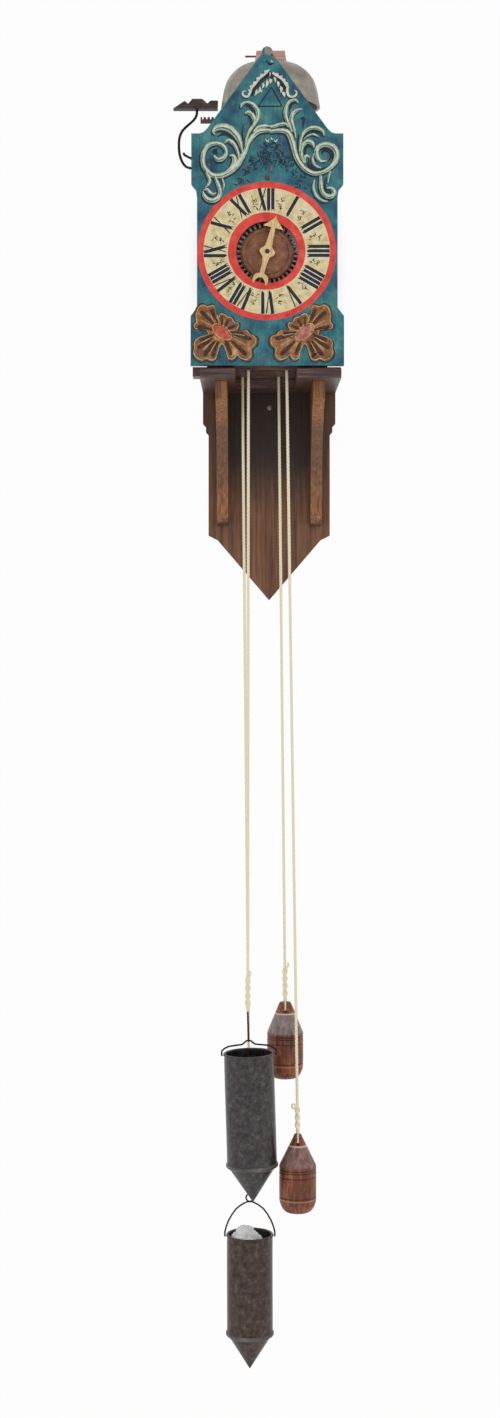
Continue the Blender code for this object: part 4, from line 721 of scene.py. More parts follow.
# %% Scrolls of the gable
LEFT_SCROLL = [
    ([(-66.7, 400.2), (-76.4, 398.2), (-82.7, 390.5), (-84.8, 380.8), (-83.4, 371.1), (-77.8, 364.1), (-72.3, 360.0),
      (-63.9, 359.3), (-55.6, 362.0), (-48.7, 366.9), (-41.7, 373.8), (-36.2, 382.2), (-32.0, 389.1), (-29.2, 397.5),
      (-26.4, 403.0), (-22.3, 408.6), (-18.1, 412.7), (-12.5, 415.5), (-4.2, 416.2), (0.6, 416.0)],
     [2.2, 2.8, 2.8, 2.6, 2.6, 2.7, 2.8, 3.0, 3.4, 4.0, 4.2, 3.6, 2.8, 2.5, 2.6, 2.8, 3.0, 2.8, 2.4, 2.0]),
    ([(-66.7, 400.2), (-59.8, 397.5), (-55.6, 391.2), (-56.7, 385.0), (-61.2, 380.5), (-66.7, 380.1), (-71.2, 384.7)],
     [2.0, 2.4, 1.8, 2.6, 3.2, 2.6, 0.6]),
    ([(-57.7, 400.2), (-52.8, 403.7), (-47.3, 400.9), (-43.1, 394.7), (-40.3, 386.3), (-39.6, 378.0)],
     [0.8, 2.3, 2.4, 2.0, 1.6, 0.6]),
    ([(-69.6, 411.0), (-71.6, 414.4), (-67.4, 419.0), (-59.8, 420.6), (-51.4, 418.3), (-44.5, 412.5), (-39.6, 405.1),
      (-36.9, 396.8), (-35.0, 387.7)], [0.5, 1.8, 3.2, 4.2, 4.4, 4.0, 3.2, 2.0, 0.8]),
    ([(-51.4, 384.7), (-46.6, 383.8), (-44.5, 378.7), (-47.3, 371.1), (-54.2, 364.8)], [0.8, 2.6, 3.2, 3.0, 1.2]),
    ([(-37.3, 444.0), (-35.5, 448.8), (-29.2, 451.3), (-21.6, 448.2), (-16.0, 440.5), (-16.3, 432.2), (-19.8, 424.5),
      (-24.3, 418.3), (-28.5, 410.7), (-30.6, 403.0), (-31.7, 394.7)],
     [0.6, 1.8, 1.4, 2.2, 2.7, 2.6, 2.3, 1.9, 1.5, 1.4, 0.8]),
    ([(-32.0, 437.5), (-27.1, 438.6), (-22.5, 435.2), (-20.2, 428.7), (-22.3, 421.8)], [1.0, 2.8, 2.6, 2.0, 0.6]),
    ([(-21.6, 413.4), (-15.3, 419.4), (-7.0, 421.3), (1.3, 419.7)], [1.2, 2.4, 2.4, 1.2]),
    ([(-84.5, 339.8), (-83.1, 335.0), (-78.5, 330.1), (-70.9, 328.7), (-64.6, 332.9), (-62.8, 339.8), (-64.9, 346.8),
      (-67.7, 353.7), (-70.2, 360.0)], [0.8, 2.2, 2.8, 3.0, 2.8, 2.5, 2.3, 2.0, 1.2]),
    ([(-83.4, 341.2), (-79.9, 342.6), (-76.4, 339.1), (-72.3, 336.3), (-68.1, 337.7)], [0.8, 1.9, 2.1, 1.8, 0.5]),
    ([(-81.3, 366.9), (-78.5, 360.6), (-76.2, 354.4), (-77.5, 348.8), (-81.3, 344.7)], [1.4, 2.0, 2.0, 1.6, 0.5]),
    ([(-60.4, 356.0), (-58.4, 348.5), (-59.6, 341.0)], [0.5, 1.4, 0.4]),
]
RIGHT_SCROLL = [
    ([(-0.6, 414.6), (8.3, 416.1), (15.9, 415.8), (21.5, 413.8), (25.2, 407.9), (27.7, 400.2), (29.8, 391.2),
      (32.6, 382.2), (37.4, 374.1), (43.7, 367.6), (51.3, 363.1), (59.0, 362.5), (68.0, 365.5), (76.3, 371.1),
      (81.2, 378.0), (83.0, 385.6), (80.5, 393.3), (74.9, 397.5), (68.0, 398.8), (61.0, 396.1), (57.2, 389.8),
      (58.5, 382.2), (63.8, 376.9), (70.5, 378.0)],
     [2.0, 2.4, 2.8, 3.2, 3.4, 3.4, 2.9, 3.0, 2.8, 2.8, 2.6, 2.6, 2.6, 2.8, 3.2, 3.2, 3.5, 3.4, 2.9, 2.9, 2.8, 2.4,
      1.8, 0.6]),
    ([(54.4, 394.7), (52.0, 400.2), (46.5, 402.3), (40.9, 398.2), (38.5, 390.5), (39.1, 382.2), (42.3, 374.5)],
     [1.0, 2.5, 2.7, 2.6, 2.4, 2.0, 0.8]),
    ([(43.0, 375.2), (42.7, 380.8), (44.7, 384.3), (48.8, 382.5)], [0.8, 1.8, 2.1, 0.6]),
    ([(54.4, 387.7), (52.4, 380.1), (55.5, 372.5), (63.1, 369.0)], [0.5, 1.5, 1.8, 0.5]),
    ([(66.9, 409.7), (64.9, 415.2), (57.6, 419.4), (49.9, 419.0), (43.0, 414.8), (39.1, 408.6), (36.9, 400.2),
      (36.0, 389.1)], [0.6, 2.0, 2.3, 2.2, 2.0, 1.8, 1.6, 0.6]),
    ([(60.8, 407.9), (54.1, 411.0), (47.2, 409.6), (41.6, 404.7)], [0.4, 1.1, 1.2, 0.4]),
    ([(34.9, 450.5), (30.8, 454.1), (24.2, 452.3), (20.1, 446.1), (18.5, 437.7), (20.5, 429.4), (23.8, 421.8),
      (27.0, 414.1)], [0.6, 1.9, 1.7, 2.1, 2.3, 2.1, 1.8, 1.2]),
    ([(39.1, 442.5), (33.3, 441.3), (28.0, 437.0), (26.0, 430.5), (27.4, 423.2), (29.9, 415.5), (31.6, 405.8)],
     [0.5, 2.0, 2.7, 2.5, 2.1, 1.6, 0.6]),
    ([(-4.9, 420.4), (4.1, 421.1), (11.7, 423.6), (18.0, 424.1), (22.8, 420.4)], [1.4, 2.0, 2.3, 2.0, 1.0]),
    ([(62.7, 359.3), (62.7, 350.2), (64.1, 341.2), (68.7, 335.0), (75.6, 333.6), (79.5, 338.4), (76.6, 343.6),
      (70.1, 344.0)], [1.6, 2.3, 2.5, 2.7, 2.9, 2.8, 2.2, 0.8]),
    ([(54.8, 354.1), (53.4, 344.7), (56.9, 335.0), (63.8, 328.7), (71.5, 326.9)], [0.8, 1.7, 1.9, 1.6, 0.6]),
    ([(74.7, 364.8), (72.4, 357.9), (71.5, 350.2)], [1.0, 1.8, 0.5]),
]
SCROLL = LEFT_SCROLL + RIGHT_SCROLL
DARK_EDGES = [
    ([(-67.0, 408.0), (-57.0, 412.0), (-47.5, 407.0), (-42.0, 399.0)], [0.4, 2.0, 1.8, 0.4]),
    ([(-66.0, 393.5), (-70.0, 389.5), (-65.5, 386.5)], [0.6, 2.6, 0.8]),
    ([(-28.0, 433.6), (-24.4, 429.0), (-25.0, 422.0)], [0.4, 1.6, 0.4]),
    ([(-34.0, 424.0), (-35.4, 412.0), (-33.6, 402.0)], [0.4, 1.1, 0.4]),
    ([(-31.0, 446.8), (-25.0, 444.5), (-21.5, 436.0)], [0.4, 1.4, 0.4]),
    ([(52.0, 394.0), (45.0, 396.0), (42.0, 389.0), (44.5, 386.0)], [0.5, 1.6, 1.8, 0.6]),
    ([(48.0, 380.0), (47.5, 373.0), (54.5, 367.5), (64.0, 367.0), (73.0, 372.0)], [0.6, 1.7, 1.7, 1.5, 0.5]),
    ([(64.0, 386.5), (66.5, 391.0), (72.5, 390.0), (76.0, 384.0), (72.0, 377.0)], [0.6, 1.5, 1.6, 1.5, 0.4]),
    ([(37.5, 431.0), (41.5, 430.5), (40.0, 418.0)], [0.6, 1.5, 0.5]),
    ([(30.0, 449.8), (25.0, 446.5), (23.2, 438.5)], [0.4, 1.4, 0.4]),
    ([(35.0, 412.0), (34.2, 402.0), (33.4, 392.0)], [0.4, 1.0, 0.4]),
    ([(63.0, 409.0), (55.0, 413.8), (46.5, 412.2), (40.5, 406.0)], [0.4, 1.3, 1.4, 0.4]),
    ([(68.0, 357.0), (67.5, 348.0), (69.5, 340.0), (74.0, 338.6)], [0.4, 1.2, 1.3, 0.4]),
]
painted("scroll_shades", scroll_shade, SCROLL, SHADE_LIFT, (-0.9, -1.5), 1.42)
painted("scrolls", scroll_cream, SCROLL, scale=1.14, count=44)
painted("scroll_glints", scroll_white, SCROLL, 0.00052, (0.5, 0.9), 0.50, 44)
painted("scroll_veins", scroll_green, SCROLL, 0.00047, (-0.7, -0.9), 0.30, 44)
painted("scroll_edges", scroll_shade, DARK_EDGES, 0.00030, scale=1.25)
print("scroll strokes:", len(SCROLL))

# %% Leaf swag, triangle and dark sprigs
def leaf(x, z, angle, length, width):
    """A drop-shaped stroke from a stalk point in a direction in degrees."""
    a = math.radians(angle)
    away = np.array([math.cos(a), math.sin(a)])
    side = np.array([-away[1], away[0]]) * 0.12 * length
    root = np.array([x, z])
    return ([root, root + 0.5 * length * away + side, root + length * away], [0.3, width, width * 0.7, 0.2])


LEFT_BAND = [(-1.1, 492.7), (-4.8, 488.8), (-9.0, 485.1), (-14.0, 481.3), (-17.1, 476.8), (-20.9, 472.6),
             (-24.1, 468.5), (-25.6, 463.3), (-28.2, 458.6), (-31.9, 458.6), (-34.8, 461.2), (-34.0, 464.8),
             (-30.3, 465.3)]
RIGHT_BAND = [(2.2, 488.4), (7.7, 484.6), (12.4, 482.0), (16.0, 478.4), (19.2, 474.2), (21.3, 470.0), (20.9, 464.8),
              (22.6, 459.8), (27.0, 457.9), (31.5, 460.1), (32.5, 464.3), (29.6, 466.4)]
BAND_HALF = [0.8, 1.7, 1.4, 1.8, 1.4, 1.9, 1.8, 1.8, 1.6, 1.5, 1.4, 1.1, 0.5]
DROPS = [(-0.6, 481.2, 270, 6.4, 2.1), (-4.6, 479.8, 262, 9.6, 1.9), (-9.0, 475.6, 257, 6.8, 1.5),
         (-13.2, 470.8, 254, 8.2, 1.6), (-17.2, 467.6, 252, 8.2, 1.7), (-11.2, 467.6, 258, 4.2, 1.0),
         (-0.9, 489.2, 268, 5.6, 0.9), (4.0, 483.2, 286, 7.0, 1.6), (8.8, 478.0, 274, 7.2, 1.8),
         (12.2, 471.8, 274, 8.4, 1.9), (14.8, 464.4, 290, 6.6, 2.2)]
left_stalk, right_stalk = curve_through(LEFT_BAND[:8], 13), curve_through(RIGHT_BAND[:6], 10)
fill, swag = [], [(LEFT_BAND, BAND_HALF), (RIGHT_BAND, BAND_HALF[1:])]
for stalk, inward in ((left_stalk, 1), (right_stalk, -1)):
    fill += [([np.add(a, (1.6 * inward, -2.4)), np.add(b, (2.2 * inward, -3.4))], [1.7, 2.1])
             for a, b in zip(stalk, stalk[1:])]
    swag += [leaf(x - 0.3 * inward, z + 0.4, 90 + inward * (60 + 34 * (-1) ** k), 3.2, 1.5)
             for k, (x, z) in enumerate(stalk[1:-1])]
swag += [leaf(x, z, turn, 1.08 * length, 1.15 * half) for x, z, turn, length, half in DROPS]
painted("swag_shades", scroll_shade, fill + swag, SHADE_LIFT, (-0.5, -0.9), 1.30, 20)
painted("swag_leaves", scroll_white, swag, count=40)
corners = [(1.1, 470.5), (-15.4, 446.2), (14.4, 446.2), (1.1, 470.5)]
lines = [([first, np.add(first, second) / 2, second], [0.8, 1.05, 0.8])
         for first, second in zip(corners, corners[1:])]
draws = np.random.default_rng(5)
SPRIG_CLUMPS = [(-22, 378), (-12, 385), (-5, 392), (6, 392), (14, 384), (23, 377), (0, 400), (-31, 366), (33, 366),
                (-16, 373), (17, 372), (-7, 378), (8, 377), (-38, 352), (40, 352)]
for middle_x, middle_z in SPRIG_CLUMPS:
    turns = draws.uniform(0, 360, 12)
    spots = draws.normal(0, 3.8, (12, 2))
    lines += [leaf(middle_x + sx, middle_z + sz, turn, 5.5, 0.8) for turn, (sx, sz) in zip(turns, spots)]
painted("dark_sprigs", scroll_shade, lines, SPRIG_LIFT, count=10)
print("swag strokes:", len(swag), "dark strokes:", len(lines))

# %% [markdown]
# ## Hour numbers
# The numbers are plain Roman figures whose feet point to the middle, with four strokes for the four.
# Each figure is a few bars: thick ones fall from the outer left, thin ones rise to the right.

# %% Figures from bars
FOOT_R, HEAD_R = 49.4, 78.4
THICK, THIN = 2.3, 0.7
FIGURES = {
    1: [("I", 0)], 2: [("I", -3), ("I", 3)], 3: [("I", -5.6), ("I", 0), ("I", 5.6)],
    4: [("I", -8.1), ("I", -2.7), ("I", 2.7), ("I", 8.1)], 5: [("V", 0)], 6: [("V", -3.4), ("I", 5.2)],
    7: [("V", -6), ("I", 2.6), ("I", 7.8)], 8: [("V", -8.6), ("I", 0), ("I", 5), ("I", 10)],
    9: [("I", -5.6), ("X", 2.6)], 10: [("X", 0)], 11: [("X", -2.6), ("I", 5.6)],
    12: [("X", -5.4), ("I", 2.6), ("I", 7.8)],
}
HALF = 3.9
BARS = {
    "I": [((0, HEAD_R), (0, FOOT_R), THICK)],
    "V": [((-HALF, HEAD_R), (0, FOOT_R), THICK), ((HALF, HEAD_R), (0, FOOT_R), THIN)],
    "X": [((-HALF, HEAD_R), (HALF, FOOT_R), THICK), ((HALF, HEAD_R), (-HALF, FOOT_R), THIN)],
}


def on_dial(hour, across, radius):
    """A point at a distance across and out from the dial's middle, turned clockwise to its hour."""
    a = 2 * math.pi * hour / 12
    return (DIAL_X / MM + radius * math.sin(a) + across * math.cos(a),
            DIAL_Z / MM + radius * math.cos(a) - across * math.sin(a))


def bar(hour, start, stop, half):
    ends = [on_dial(hour, *start), on_dial(hour, *np.add(start, stop) / 2), on_dial(hour, *stop)]
    return (ends, [half, half, half * 0.92])


bars = [bar(hour, (at + start[0], start[1]), (at + stop[0], stop[1]), half)
        for hour, figure in FIGURES.items() for letter, at in figure for start, stop, half in BARS[letter]]
glow_lines = [bar(hour, (at + start[0] + 2.35, start[1] - 0.6), (at + stop[0] + 2.35, stop[1] + 0.6), 0.6)
              for hour, figure in FIGURES.items() for letter, at in figure for start, stop, half in BARS[letter][:1]]
painted("hour_numbers", number_black, bars, 0.0003, count=6)
painted("number_glints", chalk_line, glow_lines, 0.00022, count=6)
print("number strokes:", len(bars))

# %% Half-hour sprigs
sprigs = []
for hour in range(12):
    for radius_mm, spread in ((58, 3.2), (66, 3.0)):
        x, z = on_dial(hour + 0.5, draws.normal(0, 1.2), radius_mm)
        sprigs += [leaf(x + draws.normal(0, spread * 0.45), z + draws.normal(0, spread * 0.45), turn, spread + 1, 0.62)
                   for turn in draws.uniform(0, 360, 5)]
painted("half_hour_sprigs", sprig_mixed, sprigs, SPRIG_LIFT, count=8)
print("sprig strokes:", len(sprigs))

# %% [markdown]
# ## Shell rosettes
# Two fluted shells fill the lower corners, brown and ochre round a red oval, as if carved.
# Their outline is drawn as one closed line of four scalloped lobes. The sheet runs from the oval out to that
# line: one parameter goes round, the other outward, and the flutes are painted from the oval toward each scallop.

# %% One fluted sheet round an oval
ROSETTE_X, ROSETTE_Z = -60.6, 164.6
ROSETTE_MIDDLE = -8.9
LOBES = [
    (-79.5, 166.5), (-87.0, 169.2), (-94.8, 168.6), (-96.6, 173.6), (-93.4, 177.6), (-94.0, 187.0), (-90.2, 196.4),
    (-84.6, 199.2), (-79.5, 196.8), (-72.0, 198.6), (-69.4, 191.6), (-71.6, 184.0), (-69.6, 180.4), (-66.0, 181.6),
    (-62.4, 187.6), (-57.0, 186.4), (-53.2, 183.4), (-48.4, 183.0), (-45.4, 177.4), (-39.4, 174.8), (-41.0, 168.6),
    (-46.0, 163.4), (-45.4, 158.8), (-39.4, 160.0), (-34.0, 164.8), (-28.8, 166.2), (-24.6, 161.4), (-17.6, 157.6),
    (-18.0, 149.0), (-23.6, 143.2), (-23.0, 135.4), (-28.8, 128.8), (-36.4, 130.8), (-41.2, 135.2), (-45.4, 130.2),
    (-51.6, 129.8), (-54.6, 138.2), (-57.6, 146.8), (-61.0, 149.2), (-64.6, 144.6), (-66.8, 136.6), (-69.8, 129.4),
    (-75.0, 128.2), (-80.4, 130.4), (-86.0, 128.0), (-93.4, 131.2), (-97.0, 137.6), (-95.8, 145.4), (-96.0, 151.0),
    (-90.6, 156.6), (-83.0, 159.4), (-78.0, 161.0),
]
FLUTES = [(-94.0, 171.5), (-89.5, 192.5), (-75.5, 195.0), (-61.0, 184.5), (-51.5, 181.0), (-42.5, 173.0),
          (-32.0, 162.5), (-21.0, 155.0), (-27.5, 133.0), (-48.0, 133.0), (-73.5, 132.0), (-85.0, 132.0),
          (-93.5, 142.0), (-90.5, 153.0)]
OVAL_SHARE = 0.16
RELIEF, BACKING = 0.0016, 0.0003
outline = curve_through(LOBES + LOBES[:1], 261)[:-1]
middle_of_shell = np.array([ROSETTE_X, ROSETTE_Z])


def toward(points, share):
    """Points at a share of the way from the oval's middle to the given ones."""
    return middle_of_shell + (np.asarray(points) - middle_of_shell) * np.asarray(share)


def on_both_sides(strokes):
    """The left shell's strokes with their reflections for the right one."""
    return strokes + [([(2 * ROSETTE_MIDDLE - x, z) for x, z in points], widths) for points, widths in strokes]


def shell_sheet(mirror):
    """Points at share v from the oval to the outline, raised by a dome that ripples once for every flute."""
    v = np.linspace(OVAL_SHARE, 1.0, 20)
    flat = middle_of_shell + v[:, None, None] * (outline - middle_of_shell)[None]
    heading = np.arctan2(*(outline - middle_of_shell).T[::-1])
    valley = np.arctan2(*(np.array(FLUTES) - middle_of_shell).T[::-1])
    apart = np.abs((heading[:, None] - valley[None] + np.pi) % (2 * np.pi) - np.pi).min(1)
    ripple = np.clip(apart / 0.16, 0, 1)
    rise = np.sin(np.pi * np.clip((v - OVAL_SHARE) / (1 - OVAL_SHARE), 0, 1) ** 1.6)
    height = RELIEF * rise[:, None] * (0.35 + 0.65 * ripple[None]) + 0.00012 * (v < 1)[:, None]
    x = 2 * ROSETTE_MIDDLE - flat[..., 0] if mirror else flat[..., 0]
    return np.stack([x * MM, PLATE_FACE_Y - height, flat[..., 1] * MM], -1)


def backed(made):
    """Gives an open sheet a thin side toward the board."""
    thick = made.modifiers.new("board side", "SOLIDIFY")
    thick.thickness, thick.offset = BACKING, -1.0
    return made


shell = Finish("shell_paint", 0.5)
clouds = shell.noise(0.010, detail=6.0, rough=0.65)
aged = shell.between(shell.noise(0.020, detail=4.0, place=shell.mapped(shift=(0.4, 0.2, 0.9))), 0.52, 0.66)
tone = shell.ramp(clouds, (0.28, srgb(76, 42, 20)), (0.46, srgb(138, 82, 36)), (0.58, srgb(180, 120, 58)),
                  (0.72, srgb(222, 186, 128)))
shell.colour(shell.tint(tone, aged, 0.60, srgb(134, 106, 106)))
shell.bump(shell.noise(0.002, detail=4.0), 0.0002)
for name, mirror in (("left", False), ("right", True)):
    points = shell_sheet(mirror)
    sheet = welded(mesh_object(f"{name}_shell", points, grid_faces(*points.shape[:2], closed_columns=True)))
    finished(backed(sheet), shell.material, "frame")
print("shell outline points:", len(outline), "flutes:", len(FLUTES))

# %% Flutes, ridges and outlines by brush
ochre = brush_paint("ochre_line", srgb(158, 122, 70), srgb(212, 180, 122), srgb(236, 216, 168))
brown_shade = brush_paint("brown_shade", srgb(30, 17, 10), srgb(70, 38, 18), srgb(136, 78, 34), 0.004)
shell_rim = brush_paint("shell_rim", srgb(146, 122, 78), srgb(208, 192, 148), srgb(238, 230, 204), 0.004)
ring_line = np.concatenate([outline, outline[:3]])
shadow = [(toward(ring_line, 1.03) + [0.5, -0.6], [1.1, 0.9, 1.2, 0.9, 1.1])]
rim = [(toward(ring_line, 0.965), [0.55, 0.8, 0.5, 0.8, 0.55])]
valleys = [([toward(tip, 0.36), toward(tip, 0.60), toward(tip, 0.80), toward(tip, 0.93)], [0.7, 2.5, 4.0, 3.6, 1.6])
           for tip in FLUTES]
between_tips = [np.add(a, b) / 2 for a, b in zip(FLUTES, FLUTES[1:])]
LOBE_GAP = 9  # the open gap between the two lower lobes has no ridge
ridges = [([toward(tip, 0.40), toward(tip, 0.62), toward(tip, 0.84)], [0.4, 1.0, 0.6])
          for k, tip in enumerate(between_tips) if k != LOBE_GAP and np.hypot(*(tip - middle_of_shell)) > 23]
painted("shell_shadows", brown_shade, on_both_sides(shadow), 0.00016, count=300)
painted("shell_flutes", brown_shade, on_both_sides(valleys), 0.0017, count=16)
painted("shell_ridges", ochre, on_both_sides(ridges), 0.0022, count=14)
painted("shell_rims", shell_rim, on_both_sides(rim), 0.0009, count=300)
print("flute strokes:", len(valleys), "ridge strokes:", len(ridges))


# %% The ovals in the shells' middles
def on_oval(x, z, turn, east, north):
    """Points east and north of a middle, turned about it."""
    return np.stack([x + east * math.cos(turn) - north * math.sin(turn),
                     z + east * math.sin(turn) + north * math.cos(turn)], -1)


def oval(x, z, turn, long_half, short_half, rise, rings=10, columns=40):
    """A low dome on an oval: height rise (1 - q^2) at the share q of the way to its rim."""
    q, a = round_grid(rings, columns)
    flat = on_oval(x, z, turn, long_half * q * np.cos(a), short_half * q * np.sin(a))
    return np.stack([flat[..., 0] * MM, PLATE_FACE_Y - 0.0002 - rise * (1 - q**2), flat[..., 1] * MM], -1)


oval_red = brush_paint("oval_red", srgb(176, 52, 40), srgb(214, 88, 70), srgb(232, 136, 112))
oval_pink = brush_paint("oval_pink", srgb(160, 86, 72), srgb(196, 124, 108), srgb(224, 166, 148))
OVAL_TURN = math.radians(-38)
OVAL_LONG, OVAL_SHORT, RIM_OUT = 13.5, 7.0, 0.3
for name, x, turn, tint in (("left", ROSETTE_X, OVAL_TURN, oval_red),
                            ("right", 2 * ROSETTE_MIDDLE - ROSETTE_X, -OVAL_TURN, oval_pink)):
    points = oval(x, ROSETTE_Z, turn, OVAL_LONG, OVAL_SHORT, RELIEF)
    dome = welded(mesh_object(f"{name}_oval", points, grid_faces(*points.shape[:2], closed_columns=True)))
    finished(backed(dome), tint, "frame")
    ring = np.linspace(0, 2 * np.pi, 30)
    rim = on_oval(x, ROSETTE_Z, turn, (OVAL_LONG + RIM_OUT) * np.cos(ring), (OVAL_SHORT + RIM_OUT) * np.sin(ring))
    painted(f"{name}_oval_rim", ochre, [(rim, [0.8, 0.8])], 0.0014, count=60)

# %% [markdown]
# ## Nails, chips and the board's screw
# Small marks of use: a nail through the left shell, a dark split in the right one, a hole and a chip at the worn tip.
# The back board hangs on one screw, whose head shows below the shelf.

# %% Domed heads
def closed_dome(name, surface, axis, depth, smooth=True):
    """A round surface closed by a straight side and a flat back at one depth along an axis."""
    side = surface[-1:].copy()
    side[..., axis] = depth
    middle = surface[0, 0].copy()
    middle[axis] = depth
    points = np.concatenate([surface, side, np.broadcast_to(middle, side.shape)])
    return welded(mesh_object(name, points, grid_faces(*points.shape[:2], closed_columns=True), smooth))


def stud(name, x, z, face_y, radius, rise, sink, finish, slit=0.0):
    """A dome of height rise (1 - q^2) on a short shank that sinks into the board; slit cuts a driver's slot."""
    q, a = round_grid(14, 48)
    east, north = radius * q * np.cos(a), radius * q * np.sin(a)
    height = rise * (0.35 + 0.65 * np.sqrt(1 - 0.98 * q**2))
    height = np.where(np.abs(0.8 * east - 0.6 * north) < slit, 0.3 * height, height)
    head = np.stack([x + east, face_y - height, z + north], -1)
    return finished(closed_dome(name, head, 1, face_y + sink, False), finish, "frame")


SCREW_Z = 0.0875
board_low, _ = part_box("back_board")
stud("board_screw", 0.0, SCREW_Z, board_low[1], 0.0036, 0.0016, 0.006, steel, 0.0005)
stud("shell_nail", -0.0757, 0.1410, PLATE_FACE_Y, 0.0024, 0.0016, 0.002, forged_iron)
stud("tip_nail", 0.0016, 0.5108, PLATE_FACE_Y, 0.0010, 0.0006, 0.002, forged_iron)
splits = [([(51.5, 132.6), (55.6, 136.2), (59.8, 139.5)], [0.5, 1.5, 0.5]),
          ([(-5.5, 503.4), (-0.6, 498.6), (3.4, 501.0)], [0.4, 1.1, 0.4])]
painted("dark_splits", forged_iron, splits, 0.0021, count=12)
worn_red = brush_paint("worn_red", srgb(120, 66, 58), srgb(170, 104, 90), srgb(206, 150, 130), 0.002)
reds = [([(2.6, 511.6), (3.8, 508.0), (3.9, 504.4)], [0.4, 1.1, 0.5]), ([(1.4, 372.4), (1.0, 366.0)], [0.7, 1.1])]
painted("red_marks", worn_red, reds, 0.0006, count=12)
chips = [([(0.4, 504.2), (1.8, 501.6), (3.0, 503.0)], [0.5, 1.2, 0.4]), ([(0.6, 407.2), (2.6, 404.4)], [0.6, 1.1]),
         ([(-6.4, 405.4), (-3.4, 402.2), (-1.6, 405.8)], [0.4, 0.9, 0.3]),
         ([(9.0, 405.4), (6.2, 402.0), (4.4, 405.6)], [0.4, 0.9, 0.3])]
painted("pale_chips", scroll_white, chips, 0.0005, count=12)
print("small marks:", len(splits) + len(reds) + len(chips))

# %% [markdown]
# ## Turned and rolled pieces
# The bell, the tins and the counterweights are round, so each is a profile of radius and height swept in a circle.
# A few low waves round the circle and along the height keep the hand-made ones from looking machined.

# %% Sweep a profile
def turned(name, profile, centre, columns=96, lean=0.0, wobble=0.0, closed=True):
    """Radius times (1 + w sin(3 a + 40 z)) at angle a and height z, leaned about Y and set at its centre."""
    r, z = np.asarray(profile, float).T
    a = round_angles(columns)
    wave = 1 + wobble * np.sin(3 * a[None] + 40 * z[:, None]) * (r[:, None] > 0.004)
    east = r[:, None] * wave * np.cos(a)
    north = r[:, None] * wave * np.sin(a)
    up = np.broadcast_to(z[:, None], east.shape)
    x = east * math.cos(lean) + up * math.sin(lean)
    tall = up * math.cos(lean) - east * math.sin(lean)
    points = np.stack([x, north, tall], -1) + np.asarray(centre)
    made = mesh_object(name, points, grid_faces(len(r), columns, closed_rows=closed, closed_columns=True))
    return welded(made)


# %% Bell
bell_low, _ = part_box("bell")
BELL_X, BELL_Y = 0.001, -0.115
BELL_R, BELL_H, BELL_WALL, BELL_HOLE_R = 0.0640, 0.0565, 0.003, 0.0046
dome = curve_through([(0.013, 1.0), (0.025, 0.986), (0.0375, 0.924), (0.0475, 0.796), (0.0555, 0.619), (0.0600, 0.400),
                      (0.0622, 0.200), (0.0634, 0.060), (BELL_R, 0.0)], 60) * [1, BELL_H]
outside = np.concatenate([[[BELL_HOLE_R, BELL_H]], dome])
inside = outside[::-1] - [BELL_WALL, BELL_WALL]
inside[:, 1] = np.maximum(inside[:, 1], 0.0)
inside[-1, 0] = outside[0, 0]
bell = turned("bell_casting", np.concatenate([outside, inside]), (BELL_X, BELL_Y, bell_low[2]), 128)
bell_skin = Finish("bell_skin", 0.36, 0.5)
clouds = bell_skin.noise(0.03, detail=6.0, rough=0.62)
rings = bell_skin.noise((0.5, 0.5, 0.0016), detail=2.0)
tone = bell_skin.ramp(clouds, (0.28, srgb(120, 115, 103)), (0.50, srgb(158, 151, 137)), (0.74, srgb(196, 187, 168)))
tone = bell_skin.tint(tone, bell_skin.between(rings, 0.5, 0.75), 0.35, srgb(134, 124, 106))
bell_skin.colour(tone)
bell_skin.bump(bell_skin.plus(rings, clouds), 0.0003)
finished(bell, bell_skin.material, "frame", ["bell"])
print("bell rim at", round(bell_low[2], 4), "radius", BELL_R)

# %% Tins with a rolled rim, a soldered seam and a pointed foot
FRONT_TIN, REAR_TIN = (-0.0270, -0.170, -0.7456), (-0.0258, -0.092, -0.9971)
SHEET, RIM_R, SEAM_OUT, SEAM_HALF = 0.0012, 0.0018, 0.0011, 0.0022
BEAD_OUT, BEAD_HALF, BEAD_SINK = 0.0012, 0.0024, 0.0004
TIN_ROUND = {"columns": 72, "wobble": 0.004}


def tin_can(name, centre, radius, height, cone, lean, body, node, skin):
    """Outside from the rolled rim down to the point, then back up the inside wall."""
    a = np.linspace(-0.5 * np.pi, np.pi, 12)
    rim = np.stack([radius - SHEET / 2 + RIM_R * np.cos(a), -SHEET / 2 + RIM_R * np.sin(a)], -1)[::-1]
    side = np.stack([np.full(24, radius), np.linspace(-0.006, -height + 0.006, 24)], -1)
    b = np.linspace(np.pi / 2, -np.pi / 2, 9)
    seam = np.stack([radius + SEAM_OUT * np.cos(b), -height + SEAM_HALF * np.sin(b)], -1)
    t = np.linspace(0.03, 0.985, 14)
    foot = np.stack([radius * (1 - t), -height - cone * t], -1)
    inside = [(0.0, -height - cone + 0.004), (radius - SHEET, -height), (radius - SHEET, -0.004)]
    profile = np.concatenate([rim, side, seam, foot, [(0.0, -height - cone)], inside])
    made = turned(name, profile, centre, lean=lean, **TIN_ROUND)
    finished(made, skin, body, [node])
    bead = np.stack([radius + BEAD_SINK + BEAD_OUT * np.cos(b), -height + BEAD_HALF * np.sin(b)], -1)
    back = [(radius - BEAD_SINK, -height - BEAD_HALF), (radius - BEAD_SINK, -height + BEAD_HALF)]
    solder_ring = turned(f"{name}_seam", np.concatenate([bead, back]), centre, lean=lean, **TIN_ROUND)
    finished(solder_ring, solder, body)


tin_can("front_tin", FRONT_TIN, 0.0316, 0.141, 0.048, -math.radians(1.6), "canister_front_body",
        "canister_front", tin)
tin_can("rear_tin", REAR_TIN, 0.0298, 0.128, 0.047, 0.0, "canister_rear_body", "canister_rear",
        brown_tin)
